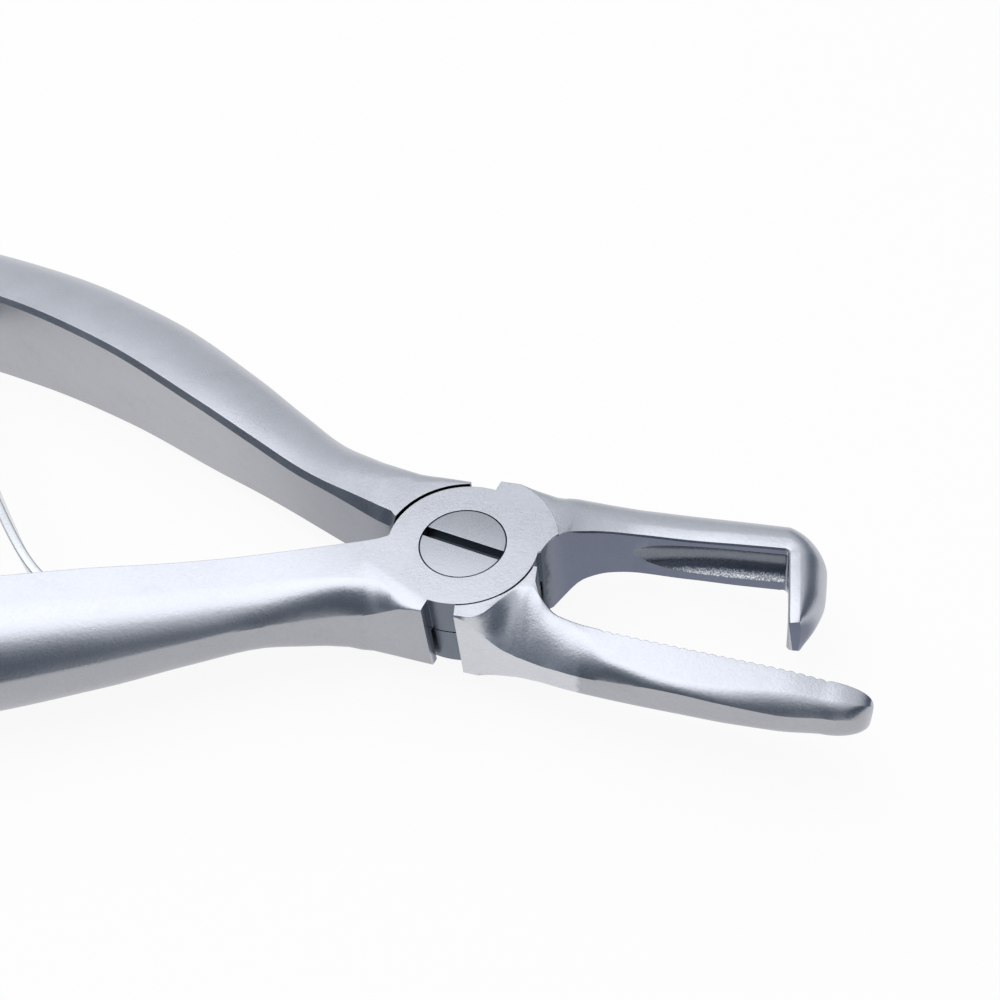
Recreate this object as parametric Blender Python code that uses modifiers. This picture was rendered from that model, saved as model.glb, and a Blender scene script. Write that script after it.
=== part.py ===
"""Tartar removing forceps: two forged halves on a lap joint, with a leaf spring between the handles.

Frame: the origin is on the pivot axis, in the underside plane of the joint. X runs to the jaws,
Z is up, and the serrated half's jaw lies on the -Y side. The jaws stand part open, as at rest.

Each half is drawn in its own frame, with its handle on -Y, its jaw on +Y and its joint plate on
top. The serrated half is the same drawing turned half a turn about X, so its plate lies below.
"""
import math

import bmesh
import bpy
from mathutils import Matrix, Vector, geometry

MM = 0.001

# Lap joint
JOINT_THICK = 9.0 * MM
PLATE_GAP = 0.2 * MM
DISC_RADIUS = 7.5 * MM
HANDLE_POCKET_GAP = 0.28 * MM
JAW_POCKET_GAP = 0.14 * MM
FACE_RADIUS = 9.4 * MM
FACE_RUNOUT = 2.6 * MM
FACE_STEP = 0.05 * MM
GRIND = 0.04 * MM
NOTCH_HALF = math.radians(10.4)
NOTCH_TURN = math.radians(1.9)

# Joint screw
HEAD_RADIUS = 4.25 * MM
HEAD_THICK = 2.4 * MM
SHANK_RADIUS = 2.9 * MM
SLOT_WIDTH = 1.15 * MM
SLOT_DEPTH = 1.3 * MM
SLOT_ANGLE = math.radians(-9.5)
SCREW_GAP = 0.08 * MM

# Handles
HANDLE_REACH = 130.0 * MM
HANDLE_SPREAD = 25.4 * MM
HANDLE_END_ROUND = 7.0 * MM
HANDLE_CORNER_POWER = 2.3
HANDLE_END_LEAN = 0.45
HANDLE_SQUARE_UNTIL = 10.0 * MM

# Jaws
JAW_CORNER_POWER = 2.15
HUB_CORNER_POWER = 6.0
SERRATED_REACH = 40.2 * MM
SERRATED_TIP_ROUND = 4.2 * MM
SERRATED_TIP_LEAN = 0.3
HOOK_INSIDE = 30.5 * MM
HOOK_CORNER_RADIUS = 0.4 * MM
HOOK_CORNER_TRIM = 0.6 * MM
HOOK_LEAN = math.radians(8.5)
HOOK_LAND = 1.0 * MM
INNER_EDGE = 0.15 * MM

# Serrations of the lower jaw
TOOTH_PITCH = 0.88 * MM
TOOTH_DEPTH = 0.3 * MM
TOOTH_FIRST = 15.6 * MM
TOOTH_COUNT = 24
TOOTH_CREST_DROP = 0.03 * MM

# Groove of the hook jaw
GROOVE_RADIUS = 2.25 * MM
GROOVE_DEPTH = 1.5 * MM
GROOVE_START = 16.5 * MM
GROOVE_END_GAP = 0.05 * MM

# Leaf spring
LEAF_THICK = 1.0 * MM
LEAF_WIDTH = 5.0 * MM
LEAF_PAST_SCREW = 6.0 * MM
LEAF_STRAIGHT = 8.0 * MM
LEAF_BEARS_AT = 38.0 * MM
LEAF_LEAVE = 0.232
LEAF_ARRIVE = 0.113
LEAF_TIP_LENGTH = 3.0 * MM
LEAF_TIP_CURL = math.radians(24)
LEAF_SEAT_GAP = 0.3 * MM

# Spring screw
SPRING_SCREW_AT = 97.0 * MM
SPRING_HEAD_RADIUS = 2.3 * MM
SPRING_HEAD_THICK = 1.5 * MM
SPRING_SHANK_RADIUS = 1.4 * MM
SPRING_SHANK_DEPTH = 5.0 * MM
SPRING_SLOT_WIDTH = 0.7 * MM
SPRING_SLOT_DEPTH = 0.7 * MM
SPRING_SCREW_GAP = 0.1 * MM

# Edges and rounding of the turned pieces
SCREW_RIM = 0.15 * MM
SPRING_SCREW_RIM = 0.2 * MM

# Sections of the forgings, in mm: place along X, inner face from the axis, thickness,
# height, height of the outer flat, width of the top flat, and for the jaws how far the
# inner face leans back at its lower edge
ROOT_HEIGHT = (JOINT_THICK + GRIND) / MM
SPREAD = HANDLE_SPREAD / MM
HOOK_HANDLE_ROOT = (
    (-2.0, 0.0, 8.7, ROOT_HEIGHT, 8.9, 8.6),
    (5.0, 0.0, 8.9, ROOT_HEIGHT, 7.0, 7.2),
    (7.3, 0.1, 9.0, ROOT_HEIGHT, 5.8, 6.3),
    (7.65, 0.65, 8.55, ROOT_HEIGHT, 5.5, 5.9),
    (8.4, 1.15, 8.2, ROOT_HEIGHT, 5.2, 5.6),
)
SERRATED_HANDLE_ROOT = (
    (-2.0, 2.4, 5.7, ROOT_HEIGHT, 8.9, 5.6),
    (5.0, 2.4, 6.1, ROOT_HEIGHT, 7.0, 4.5),
    (7.3, 2.3, 6.5, ROOT_HEIGHT, 5.8, 3.9),
    (7.75, 1.3, 7.6, ROOT_HEIGHT, 5.5, 5.1),
    (8.4, 1.4, 7.65, ROOT_HEIGHT, 5.2, 5.2),
)
HANDLE_ROWS = (
    (9.8, 1.8, 7.75, ROOT_HEIGHT, 4.4, 4.4),
    (13.7, 3.3, 7.35, 8.7, 2.7, 3.2),
    (20.0, 5.7, 7.4, 8.3, 0.6, 1.2),
    (27.0, 8.7, 8.2, 9.3, 0.3, 0.5),
    (35.0, 12.0, 9.4, 11.1, 0.3, 0.4),
    (50.0, SPREAD - 7.4, 10.7, 13.1, 0.3, 0.4),
    (65.0, SPREAD - 3.2, 11.1, 14.0, 0.3, 0.4),
    (80.0, SPREAD - 0.8, 11.0, 14.2, 0.3, 0.4),
    (95.0, SPREAD, 10.6, 13.9, 0.3, 0.4),
    (110.0, SPREAD - 0.7, 10.0, 13.2, 0.3, 0.4),
)
HANDLE_END_ROW = (SPREAD - 2.6, 9.2, 12.2, 0.3, 0.4)
HOOK_ROWS = (
    (-2.0, 0.0, 8.7, ROOT_HEIGHT, 8.9, 8.6, 0.0),
    (2.2, 0.0, 8.75, ROOT_HEIGHT, 8.6, 8.4, 0.0),
    (4.5, 0.0, 8.9, ROOT_HEIGHT, 4.4, 7.0, 0.0),
    (7.2, 0.1, 9.1, 8.6, 3.6, 6.0, 0.0),
    (7.75, 0.6, 8.7, 8.3, 3.5, 5.6, -0.2),
    (8.0, 1.6, 7.8, 8.4, 3.4, 4.8, -1.0),
    (8.4, 2.5, 7.0, 8.5, 3.4, 4.2, -1.5),
    (9.1, 3.45, 6.2, 8.3, 3.3, 3.4, -0.8),
    (10.6, 4.45, 5.5, 7.5, 3.1, 2.4, 0.05),
    (13.0, 5.35, 5.0, 6.5, 2.6, 1.4, 0.3),
    (16.0, 5.9, 4.8, 6.05, 1.8, 0.8, 0.2),
    (21.0, 6.35, 4.8, 6.2, 0.8, 0.5, 0.0),
    (26.0, 6.8, 4.6, 6.5, 0.4, 0.5, 0.0),
)
HOOK_CORNER_ROW = (7.2, 4.3, 6.6, 0.3, 0.6, 0.0)
SERRATED_ROWS = (
    (-2.0, 1.0, 7.7, ROOT_HEIGHT, 8.9, 7.6, 0.0),
    (2.2, 1.0, 7.75, ROOT_HEIGHT, 8.6, 7.4, 0.0),
    (4.5, 1.0, 7.9, ROOT_HEIGHT, 4.4, 6.0, 0.0),
    (7.4, 1.0, 8.3, 8.6, 3.6, 5.4, 0.0),
    (7.9, 1.1, 8.3, 8.4, 3.4, 5.4, 0.0),
    (8.2, 2.8, 6.6, 8.2, 3.3, 3.8, 0.0),
    (8.9, 4.1, 5.4, 7.9, 3.1, 2.8, 0.0),
    (9.9, 4.95, 4.7, 7.3, 3.0, 1.9, 0.0),
    (11.0, 5.55, 4.3, 6.8, 2.9, 1.4, 0.0),
    (14.0, 5.9, 4.35, 6.2, 2.6, 0.9, 0.0),
    (20.0, 6.15, 4.4, 6.1, 1.8, 0.7, 0.0),
    (26.0, 6.25, 4.5, 6.0, 0.8, 0.5, 0.0),
    (32.0, 6.4, 4.1, 5.8, 0.4, 0.5, 0.0),
)
SERRATED_TIP_ROW = (6.55, 3.5, 5.2, 0.3, 0.4, 0.0)
# Hook limb, in mm: distance down from the inside corner, thickness, height, and how far the
# inner face is undercut at its lower edge
HOOK_LIMB_ROWS = (
    (0.6, 3.85, 6.5, 0.4),
    (2.2, 3.75, 6.35, 0.45),
    (3.8, 3.6, 6.15, 0.5),
    (5.6, 3.0, 5.8, 0.6),
    (6.7, 2.4, 5.45, 0.7),
    (7.4, 1.8, 5.2, 0.75),
    (7.8, 1.25, 5.0, 0.75),
)

STEEL = ("satin_steel", (0.62, 0.64, 0.68), 0.38)
SCREW_STEEL = ("screw_steel", (0.60, 0.62, 0.65), 0.32)
SPRING_STEEL = ("spring_steel", (0.72, 0.74, 0.77), 0.25)

# Fineness of the facets, and how far cutters run past what they cut
CORNER_STEPS = 7
DOME_RINGS = 6
TURN_RINGS = 7
STEP_LENGTH = 1.5 * MM
HANDLE_STEP_LENGTH = 3.3 * MM
LEAF_ROOT_STEPS = 5
LEAF_BOW_STEPS = 26
LEAF_TIP_STEPS = 5
SNAP = 0.00001 * MM
PAST = 1.0 * MM

forceps = bpy.data.collections.new("tartar_removing_forceps")
cutters = bpy.data.collections.new("cutters")


def clear_scene():
    for obj in list(bpy.data.objects):
        bpy.data.objects.remove(obj, do_unlink=True)


def add_object(name, bm, collection):
    mesh = bpy.data.meshes.new(name)
    bm.to_mesh(mesh)
    bm.free()
    obj = bpy.data.objects.new(name, mesh)
    collection.objects.link(obj)
    if collection == cutters:
        obj.hide_render = True
        obj.display_type = "WIRE"
    return obj


def snap_levels(verts):
    """Put what lies within rounding of the joint's flat levels exactly on them."""
    for vert in verts:
        for level in (0.0, JOINT_THICK / 2 + PLATE_GAP / 2, JOINT_THICK):
            if abs(vert.co.z - level) < SNAP:
                vert.co.z = level


def boolean(target, tool, operation):
    """Apply one exact Boolean and remove the tool."""
    modifier = target.modifiers.new(operation.lower(), "BOOLEAN")
    modifier.operation = operation
    modifier.solver = "EXACT"
    modifier.object = tool
    graph = bpy.context.evaluated_depsgraph_get()
    result = bpy.data.meshes.new_from_object(target.evaluated_get(graph))
    target.modifiers.clear()
    snap_levels(result.vertices)
    target.data = result
    bpy.data.objects.remove(tool, do_unlink=True)


def cylinder(name, radius, low, high, segments=96):
    bm = bmesh.new()
    bmesh.ops.create_cone(
        bm, cap_ends=True, segments=segments, radius1=radius, radius2=radius, depth=high - low
    )
    for vert in bm.verts:
        vert.co.z = high if vert.co.z > 0 else low
    return add_object(name, bm, cutters)


def box(name, size, centre, turn=0.0):
    bm = bmesh.new()
    bmesh.ops.create_cube(bm, size=1.0)
    bmesh.ops.scale(bm, verts=bm.verts, vec=size)
    matrix = Matrix.Rotation(turn, 4, "Z")
    bmesh.ops.translate(bm, verts=bm.verts, vec=centre)
    bmesh.ops.transform(bm, matrix=matrix, verts=bm.verts)
    return add_object(name, bm, cutters)


def between(rows, place):
    """Read the table of sections at any place, on smooth curves through its rows."""
    last = len(rows) - 1
    index = 0
    while index < last - 1 and place > rows[index + 1][0]:
        index += 1

    def slope(at, column):
        low = max(at - 1, 0)
        high = min(at + 1, last)
        if 0 < at < last:
            before = (rows[at][column] - rows[low][column]) / (rows[at][0] - rows[low][0])
            after = (rows[high][column] - rows[at][column]) / (rows[high][0] - rows[at][0])
            if before * after <= 0:
                return 0.0
            return 2 * before * after / (before + after)
        return (rows[high][column] - rows[low][column]) / (rows[high][0] - rows[low][0])

    width = rows[index + 1][0] - rows[index][0]
    s = (place - rows[index][0]) / width
    values = []
    for column in range(1, len(rows[0])):
        start = rows[index][column]
        end = rows[index + 1][column]
        leave = slope(index, column) * width
        arrive = slope(index + 1, column) * width
        values.append(
            start * (2 * s**3 - 3 * s**2 + 1)
            + leave * (s**3 - 2 * s**2 + s)
            + end * (3 * s**2 - 2 * s**3)
            + arrive * (s**3 - s**2)
        )
    return values


def metres(rows):
    return tuple(tuple(value * MM for value in row) for row in rows)


def places(rows, start, end, step):
    """Stations along a table: its own rows, and even steps between them."""
    stations = [start]
    marks = [row[0] for row in rows if start < row[0] < end] + [end]
    for mark in marks:
        count = max(1, round((mark - stations[-1]) / step))
        first = stations[-1]
        stations += [first + (mark - first) * k / count for k in range(1, count + 1)]
    return stations


def section(thick, height, flat, land, power, lean=0.0):
    """Ring of one section as (out, up) pairs: inner flat, top land, rounded corner, outer flat.

    The lean is how far the inner flat lies back at its lower edge.
    """
    half = height / 2
    edge = min(INNER_EDGE, thick / 4, half / 4)
    land = min(max(land, edge * 1.2), thick * 0.97)
    flat = min(flat, height * 0.96) / 2
    upper = [(0.0, half - edge), (edge, half)]
    for k in range(CORNER_STEPS + 1):
        turn = math.pi / 2 * (1 - k / CORNER_STEPS)
        out = land + (thick - land) * math.cos(turn) ** (2 / power) if k else land
        up = flat + (half - flat) * math.sin(turn) ** (2 / power) if turn > 0 else flat
        upper.append((out, up))
    pairs = upper + [(out, -up) for out, up in reversed(upper)]
    leaning = []
    for out, up in pairs:
        back = lean * (half - up) / height
        leaning.append((back + out * (thick - back) / thick, up))
    return leaning


def ring(origin, outward, pairs, face=None):
    """Place a section: outward is a plan direction, and face raises it to the joint's flat."""
    points = []
    for out, up in pairs:
        x = origin[0] + outward[0] * out
        y = origin[1] + outward[1] * out
        if face:
            up = face(x, y, up)
        points.append((x, y, JOINT_THICK / 2 + up))
    return points


def raise_to_face(flat):
    """The flat ground round the joint runs out in a hollow slope beyond its radius."""
    top = JOINT_THICK / 2 - FACE_STEP

    def raised(x, y, up):
        if abs(up) <= flat / 2 + SNAP:
            return up
        distance = math.hypot(x, y) - FACE_RADIUS
        share = max(0.0, 1 - max(distance, 0.0) / FACE_RUNOUT) ** 2
        return math.copysign(abs(up) + (top - abs(up)) * share, up)

    return raised


def loft(name, rings):
    """Skin a row of rings that have the same number of points, and close both ends."""
    bm = bmesh.new()
    rows = [[bm.verts.new(point) for point in points] for points in rings]
    count = len(rows[0])
    for near, far in zip(rows, rows[1:]):
        for k in range(count):
            after = (k + 1) % count
            bm.faces.new((near[k], near[after], far[after], far[k]))
    bm.faces.new(rows[0])
    bm.faces.new(list(reversed(rows[-1])))
    bmesh.ops.recalc_face_normals(bm, faces=bm.faces)
    snap_levels(bm.verts)
    return add_object(name, bm, cutters)


def dome():
    """Steps of a rounded end: how far along it, and what the section has shrunk to."""
    steps = []
    for k in range(1, DOME_RINGS + 1):
        along = math.sin(math.pi / 2 * k / (DOME_RINGS + 0.4))
        steps.append((along, math.sqrt(1 - along * along)))
    return steps


def cut_off(obj, angle):
    """Keep what lies clockwise of the upright plane through the pivot axis at an angle."""
    normal = Vector((math.sin(angle), -math.cos(angle), 0.0))
    bm = bmesh.new()
    bm.from_mesh(obj.data)
    trim(bm, Vector(), normal)
    bm.to_mesh(obj.data)
    bm.free()


def trim(bm, point, normal):
    """Cut a closed body with a plane, keep the side its normal points to, and close the cut."""
    everything = bm.verts[:] + bm.edges[:] + bm.faces[:]
    cut = bmesh.ops.bisect_plane(
        bm, geom=everything, dist=1e-7, plane_co=point, plane_no=normal, clear_inner=True
    )
    edges = [item for item in cut["geom_cut"] if isinstance(item, bmesh.types.BMEdge)]
    bmesh.ops.holes_fill(bm, edges=edges)
    bmesh.ops.recalc_face_normals(bm, faces=bm.faces)
    snap_levels(bm.verts)


def handle_rows(root):
    """Table of one handle: its own root, then the common rows up to where its end begins."""
    end = (HANDLE_REACH - HANDLE_END_ROUND) / MM
    before = end - HANDLE_STEP_LENGTH / MM
    shared = tuple(row for row in HANDLE_ROWS if row[0] < before)
    return metres(root + shared + ((end, *HANDLE_END_ROW),))


def handle_face(rows, back):
    """Inner face of a handle in plan, at a distance behind the pivot: point and outward way."""
    inner = between(rows, back)[0]
    reach = STEP_LENGTH / 3
    slope = (between(rows, back + reach)[0] - between(rows, back - reach)[0]) / (2 * reach)
    follow = min(max(back / HANDLE_SQUARE_UNTIL - 1, 0.0), 1.0)
    lean = math.atan(slope) * follow
    return Vector((-back, -inner)), Vector((math.sin(lean), -math.cos(lean)))


def handle(rows):
    """D-section handle, flat on its inner face, ending in a rounded end."""
    body_end = HANDLE_REACH - HANDLE_END_ROUND
    rings = []
    for back in places(rows, rows[0][0], body_end, HANDLE_STEP_LENGTH):
        inner, thick, height, flat, land = between(rows, back)
        point, outward = handle_face(rows, back)
        rings.append(ring(point, outward, section(thick, height, flat, land, HANDLE_CORNER_POWER)))
    outward = handle_face(rows, body_end - STEP_LENGTH / 3)[1]
    along = Vector((outward[1], -outward[0]))
    inner, thick, height, flat, land = between(rows, body_end)
    start = Vector((-body_end, -inner))
    for share, shrink in dome():
        aside = thick * HANDLE_END_LEAN * (1 - shrink)
        centre = start + outward * aside + along * (HANDLE_END_ROUND * share)
        pairs = section(thick * shrink, height * shrink, flat * shrink, land * shrink,
                        HANDLE_CORNER_POWER)
        rings.append(ring(centre, outward, pairs))
    return loft("handle_blank", rings)


def jaw_root(rows, end):
    """Rings of a jaw from inside the joint to a place along X."""
    rings = []
    for place in places(rows, rows[0][0], end, STEP_LENGTH):
        inner, thick, height, flat, land, lean = between(rows, place)
        pairs = section(thick, height, flat, land, JAW_CORNER_POWER, lean)
        rings.append(ring((place, inner), (0.0, 1.0), pairs, raise_to_face(flat)))
    return rings


def hook_jaw():
    """Bar of the hook jaw, turned through its corner into the limb that ends in the hook."""
    corner = HOOK_INSIDE - HOOK_CORNER_RADIUS
    rows = metres(HOOK_ROWS + ((corner / MM, *HOOK_CORNER_ROW),))
    rings = jaw_root(rows, corner)
    inner, thick, height, flat, land = rows[-1][1:6]
    centre = Vector((corner, inner - HOOK_CORNER_RADIUS))
    limb = metres(HOOK_LIMB_ROWS)
    limb_thick = limb[0][1]
    limb_lean = limb[0][3]
    for k in range(1, TURN_RINGS + 1):
        share = k / TURN_RINGS
        angle = math.pi / 2 - (math.pi / 2 - HOOK_LEAN) * share
        outward = Vector((math.cos(angle), math.sin(angle)))
        waist = thick + (limb_thick - thick) * share - HOOK_CORNER_TRIM * math.sin(math.pi * share)
        top = land + (HOOK_LAND - land) * share
        pairs = section(waist, height, flat, top, JAW_CORNER_POWER, limb_lean * share)
        rings.append(ring(centre + outward * HOOK_CORNER_RADIUS, outward, pairs))
    down = Vector((outward[1], -outward[0]))
    start = centre + outward * HOOK_CORNER_RADIUS
    for place in places(limb, limb[0][0], limb[-1][0], STEP_LENGTH):
        wide, tall, lean = between(limb, place)
        pairs = section(wide, tall, flat, HOOK_LAND, JAW_CORNER_POWER, lean)
        rings.append(ring(start + down * place, outward, pairs))
    blank = loft("hook_blank", rings)
    boolean(blank, groove(rows, start - outward * GROOVE_END_GAP, outward), "DIFFERENCE")
    return blank, rows


def groove(rows, stop, limb_way):
    """Round channel along the inner face, from a point near the joint up to the hook's limb."""
    end_inner = between(rows, rows[-1][0])[0]
    start_inner = between(rows, GROOVE_START)[0]
    depth_axis = GROOVE_RADIUS - GROOVE_DEPTH
    start = Vector((GROOVE_START, start_inner - GROOVE_RADIUS, JOINT_THICK / 2))
    end = Vector((HOOK_INSIDE, end_inner - depth_axis, JOINT_THICK / 2))
    along = end - start
    bm = bmesh.new()
    bmesh.ops.create_cone(
        bm, cap_ends=True, segments=40, radius1=GROOVE_RADIUS, radius2=GROOVE_RADIUS,
        depth=along.length + 4 * PAST,
    )
    matrix = along.to_track_quat("Z", "Y").to_matrix().to_4x4()
    bmesh.ops.transform(bm, matrix=matrix, verts=bm.verts)
    bmesh.ops.translate(bm, verts=bm.verts, vec=(start + end) / 2)
    trim(bm, Vector((*stop, 0.0)), Vector((-limb_way[0], -limb_way[1], 0.0)))
    return add_object("groove_cutter", bm, cutters)


def serrated_jaw():
    """Straight jaw with cross serrations on its inner face and a rounded tip."""
    body_end = SERRATED_REACH - SERRATED_TIP_ROUND
    rows = metres(SERRATED_ROWS + ((body_end / MM, *SERRATED_TIP_ROW),))
    rings = jaw_root(rows, body_end)
    inner, thick, height, flat, land = rows[-1][1:6]
    for share, shrink in dome():
        aside = thick * SERRATED_TIP_LEAN * (1 - shrink)
        centre = (body_end + SERRATED_TIP_ROUND * share, inner + aside)
        pairs = section(thick * shrink, height * shrink, flat * shrink, land * shrink,
                        JAW_CORNER_POWER)
        rings.append(ring(centre, (0.0, 1.0), pairs))
    blank = loft("serrated_blank", rings)
    boolean(blank, serrations(rows), "DIFFERENCE")
    return blank, rows


def serrations(rows):
    """Cutter with a zigzag edge that follows the inner face, one valley for each groove."""
    clear = 2 * TOOTH_DEPTH
    plan = []
    for k in range(2 * TOOTH_COUNT + 1):
        place = TOOTH_FIRST + TOOTH_PITCH * (k - 1) / 2
        plan.append((place, between(rows, place)[0] + (TOOTH_DEPTH if k % 2 else TOOTH_CREST_DROP)))
    first = plan[0][0]
    last = plan[-1][0]
    low = min(y for x, y in plan) - clear
    plan = [(first, low)] + plan + [(last, low)]
    bm = bmesh.new()
    bottom = [bm.verts.new((x, y, -PAST)) for x, y in plan]
    top = [bm.verts.new((x, y, JOINT_THICK + PAST)) for x, y in plan]
    bm.faces.new(list(reversed(bottom)))
    bm.faces.new(top)
    for i in range(len(plan)):
        j = (i + 1) % len(plan)
        bm.faces.new((bottom[i], bottom[j], top[j], top[i]))
    bmesh.ops.recalc_face_normals(bm, faces=bm.faces)
    return add_object("serration_cutter", bm, cutters)


def face_hub(rows):
    """Full-height root of the jaw inside the ground face's radius, with an exact round edge."""
    rings = []
    inset = FACE_STEP / 2
    for place in places(rows, rows[0][0] + PAST / 2, FACE_RADIUS + PAST, STEP_LENGTH):
        inner, thick = between(rows, place)[:2]
        thick -= 2 * inset
        tall = JOINT_THICK + 2 * GRIND
        square = section(thick, tall, tall * 0.9, thick * 0.96, HUB_CORNER_POWER)
        rings.append(ring((place, inner + inset), (0.0, 1.0), square))
    hub = loft("face_hub", rings)
    boolean(hub, cylinder("face_trim", FACE_RADIUS, -PAST, JOINT_THICK + PAST), "INTERSECT")
    return hub


def half(jaw, root_rows, turn):
    """One half in its own frame: handle, jaw and the joint plate that joins them.

    All three stand a little proud of the joint, and are ground flush with its two flat faces.
    """
    jaw_blank, rows = jaw()
    boolean(jaw_blank, face_hub(rows), "UNION")
    blanks = (
        (jaw_blank, math.pi / 2 - NOTCH_HALF + turn, JAW_POCKET_GAP),
        (handle(handle_rows(root_rows)), -math.pi / 2 - NOTCH_HALF + turn, HANDLE_POCKET_GAP),
    )
    parting = JOINT_THICK / 2 + PLATE_GAP / 2
    body = cylinder("plate", DISC_RADIUS, parting, JOINT_THICK + PAST)
    for blank, shoulder, gap in blanks:
        cut_off(blank, shoulder)
        pocket = cylinder("pocket", DISC_RADIUS + gap, -PAST, parting + GRIND)
        boolean(blank, pocket, "DIFFERENCE")
        boolean(body, blank, "UNION")
    for low, high in ((-PAST, 0.0), (JOINT_THICK, JOINT_THICK + 2 * PAST)):
        grind = cylinder("grind", FACE_RADIUS + FACE_RUNOUT + PAST, low, high)
        boolean(body, grind, "DIFFERENCE")
    return body


def hook_half():
    """Half with the hook jaw: its plate lies above and takes the head of the joint screw."""
    body = half(hook_jaw, HOOK_HANDLE_ROOT, NOTCH_TURN)
    bore = cylinder("bore", SHANK_RADIUS + SCREW_GAP, -PAST, JOINT_THICK + PAST)
    boolean(body, bore, "DIFFERENCE")
    seat = JOINT_THICK - HEAD_THICK - SCREW_GAP
    counterbore = cylinder("counterbore", HEAD_RADIUS + SCREW_GAP, seat, JOINT_THICK + PAST)
    boolean(body, counterbore, "DIFFERENCE")
    return finish(body, "hook_half", STEEL)


def serrated_half():
    """Half with the serrated jaw, turned over so that its plate lies below."""
    body = half(serrated_jaw, SERRATED_HANDLE_ROOT, -NOTCH_TURN)
    body.data.transform(Matrix.Rotation(math.pi, 4, "X"))
    body.data.transform(Matrix.Translation((0.0, 0.0, JOINT_THICK)))
    bore = cylinder("bore", SHANK_RADIUS + SCREW_GAP, -PAST, JOINT_THICK + PAST)
    boolean(body, bore, "DIFFERENCE")
    seat, inward = spring_seat(SPRING_SCREW_AT)
    depth = SPRING_SHANK_DEPTH + SPRING_SCREW_GAP
    hole = cylinder("spring_hole", SPRING_SHANK_RADIUS + SPRING_SCREW_GAP, -depth, PAST, 32)
    hole.data.transform(stand(seat, inward))
    boolean(body, hole, "DIFFERENCE")
    return finish(body, "serrated_half", STEEL)


def spring_seat(back):
    """Place on the serrated half's inner handle face, and the way from it to the other handle."""
    point, outward = handle_face(handle_rows(SERRATED_HANDLE_ROOT), back)
    return Vector((point[0], -point[1])), Vector((-outward[0], outward[1]))


def stand(point, direction):
    """Matrix that stands a shape drawn along Z on a handle face, at mid height."""
    matrix = Vector((*direction, 0.0)).to_track_quat("Z", "Y").to_matrix().to_4x4()
    matrix.translation = Vector((*point, JOINT_THICK / 2))
    return matrix


def turned(name, profile, steps):
    """Turn a profile of (radius, height) pairs, given from top to bottom, about Z."""
    bm = bmesh.new()
    points = [bm.verts.new((radius, 0.0, height)) for radius, height in profile]
    for near, far in zip(points, points[1:]):
        bm.edges.new((near, far))
    obj = add_object(name, bm, cutters)
    screw = obj.modifiers.new("turn", "SCREW")
    screw.steps = steps
    screw.render_steps = steps
    screw.use_merge_vertices = True
    screw.merge_threshold = 0.000001
    graph = bpy.context.evaluated_depsgraph_get()
    mesh = bpy.data.meshes.new_from_object(obj.evaluated_get(graph))
    obj.modifiers.clear()
    obj.data = mesh
    return obj


def joint_screw():
    """Slotted screw, flush with both faces of the joint."""
    under = JOINT_THICK - HEAD_THICK
    profile = (
        (0.0, JOINT_THICK), (HEAD_RADIUS - SCREW_RIM, JOINT_THICK),
        (HEAD_RADIUS, JOINT_THICK - SCREW_RIM), (HEAD_RADIUS, under), (SHANK_RADIUS, under),
        (SHANK_RADIUS, SCREW_RIM), (SHANK_RADIUS - SCREW_RIM, 0.0), (0.0, 0.0),
    )
    screw = turned("joint_screw", profile, 96)
    size = (3 * HEAD_RADIUS, SLOT_WIDTH, 2 * SLOT_DEPTH)
    boolean(screw, box("slot", size, (0.0, 0.0, JOINT_THICK), SLOT_ANGLE), "DIFFERENCE")
    return finish(screw, "joint_screw", SCREW_STEEL)


def leaf_path():
    """Plan line through the middle of the leaf: seat on one handle, bow, tip on the other."""
    offset = LEAF_SEAT_GAP + LEAF_THICK / 2
    path = []
    for k in range(LEAF_ROOT_STEPS + 1):
        along = (LEAF_PAST_SCREW + LEAF_STRAIGHT) * k / LEAF_ROOT_STEPS
        back = SPRING_SCREW_AT + LEAF_PAST_SCREW - along
        point, inward = spring_seat(back)
        path.append(point + inward * offset)
    leave = (path[-1] - path[-2]).normalized()
    point, outward = handle_face(handle_rows(HOOK_HANDLE_ROOT), LEAF_BEARS_AT)
    bears = point - outward * offset
    arrive = Vector((-outward[1], outward[0]))
    span = (bears - path[-1]).length
    points = geometry.interpolate_bezier(
        path[-1], path[-1] + leave * span * LEAF_LEAVE, bears - arrive * span * LEAF_ARRIVE,
        bears, LEAF_BOW_STEPS
    )
    path += [Vector(point[:2]) for point in points[1:]]
    for k in range(1, LEAF_TIP_STEPS + 1):
        turn = Matrix.Rotation(LEAF_TIP_CURL * k / LEAF_TIP_STEPS, 2)
        path.append(path[-1] + turn @ arrive * (LEAF_TIP_LENGTH / LEAF_TIP_STEPS))
    return path


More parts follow.
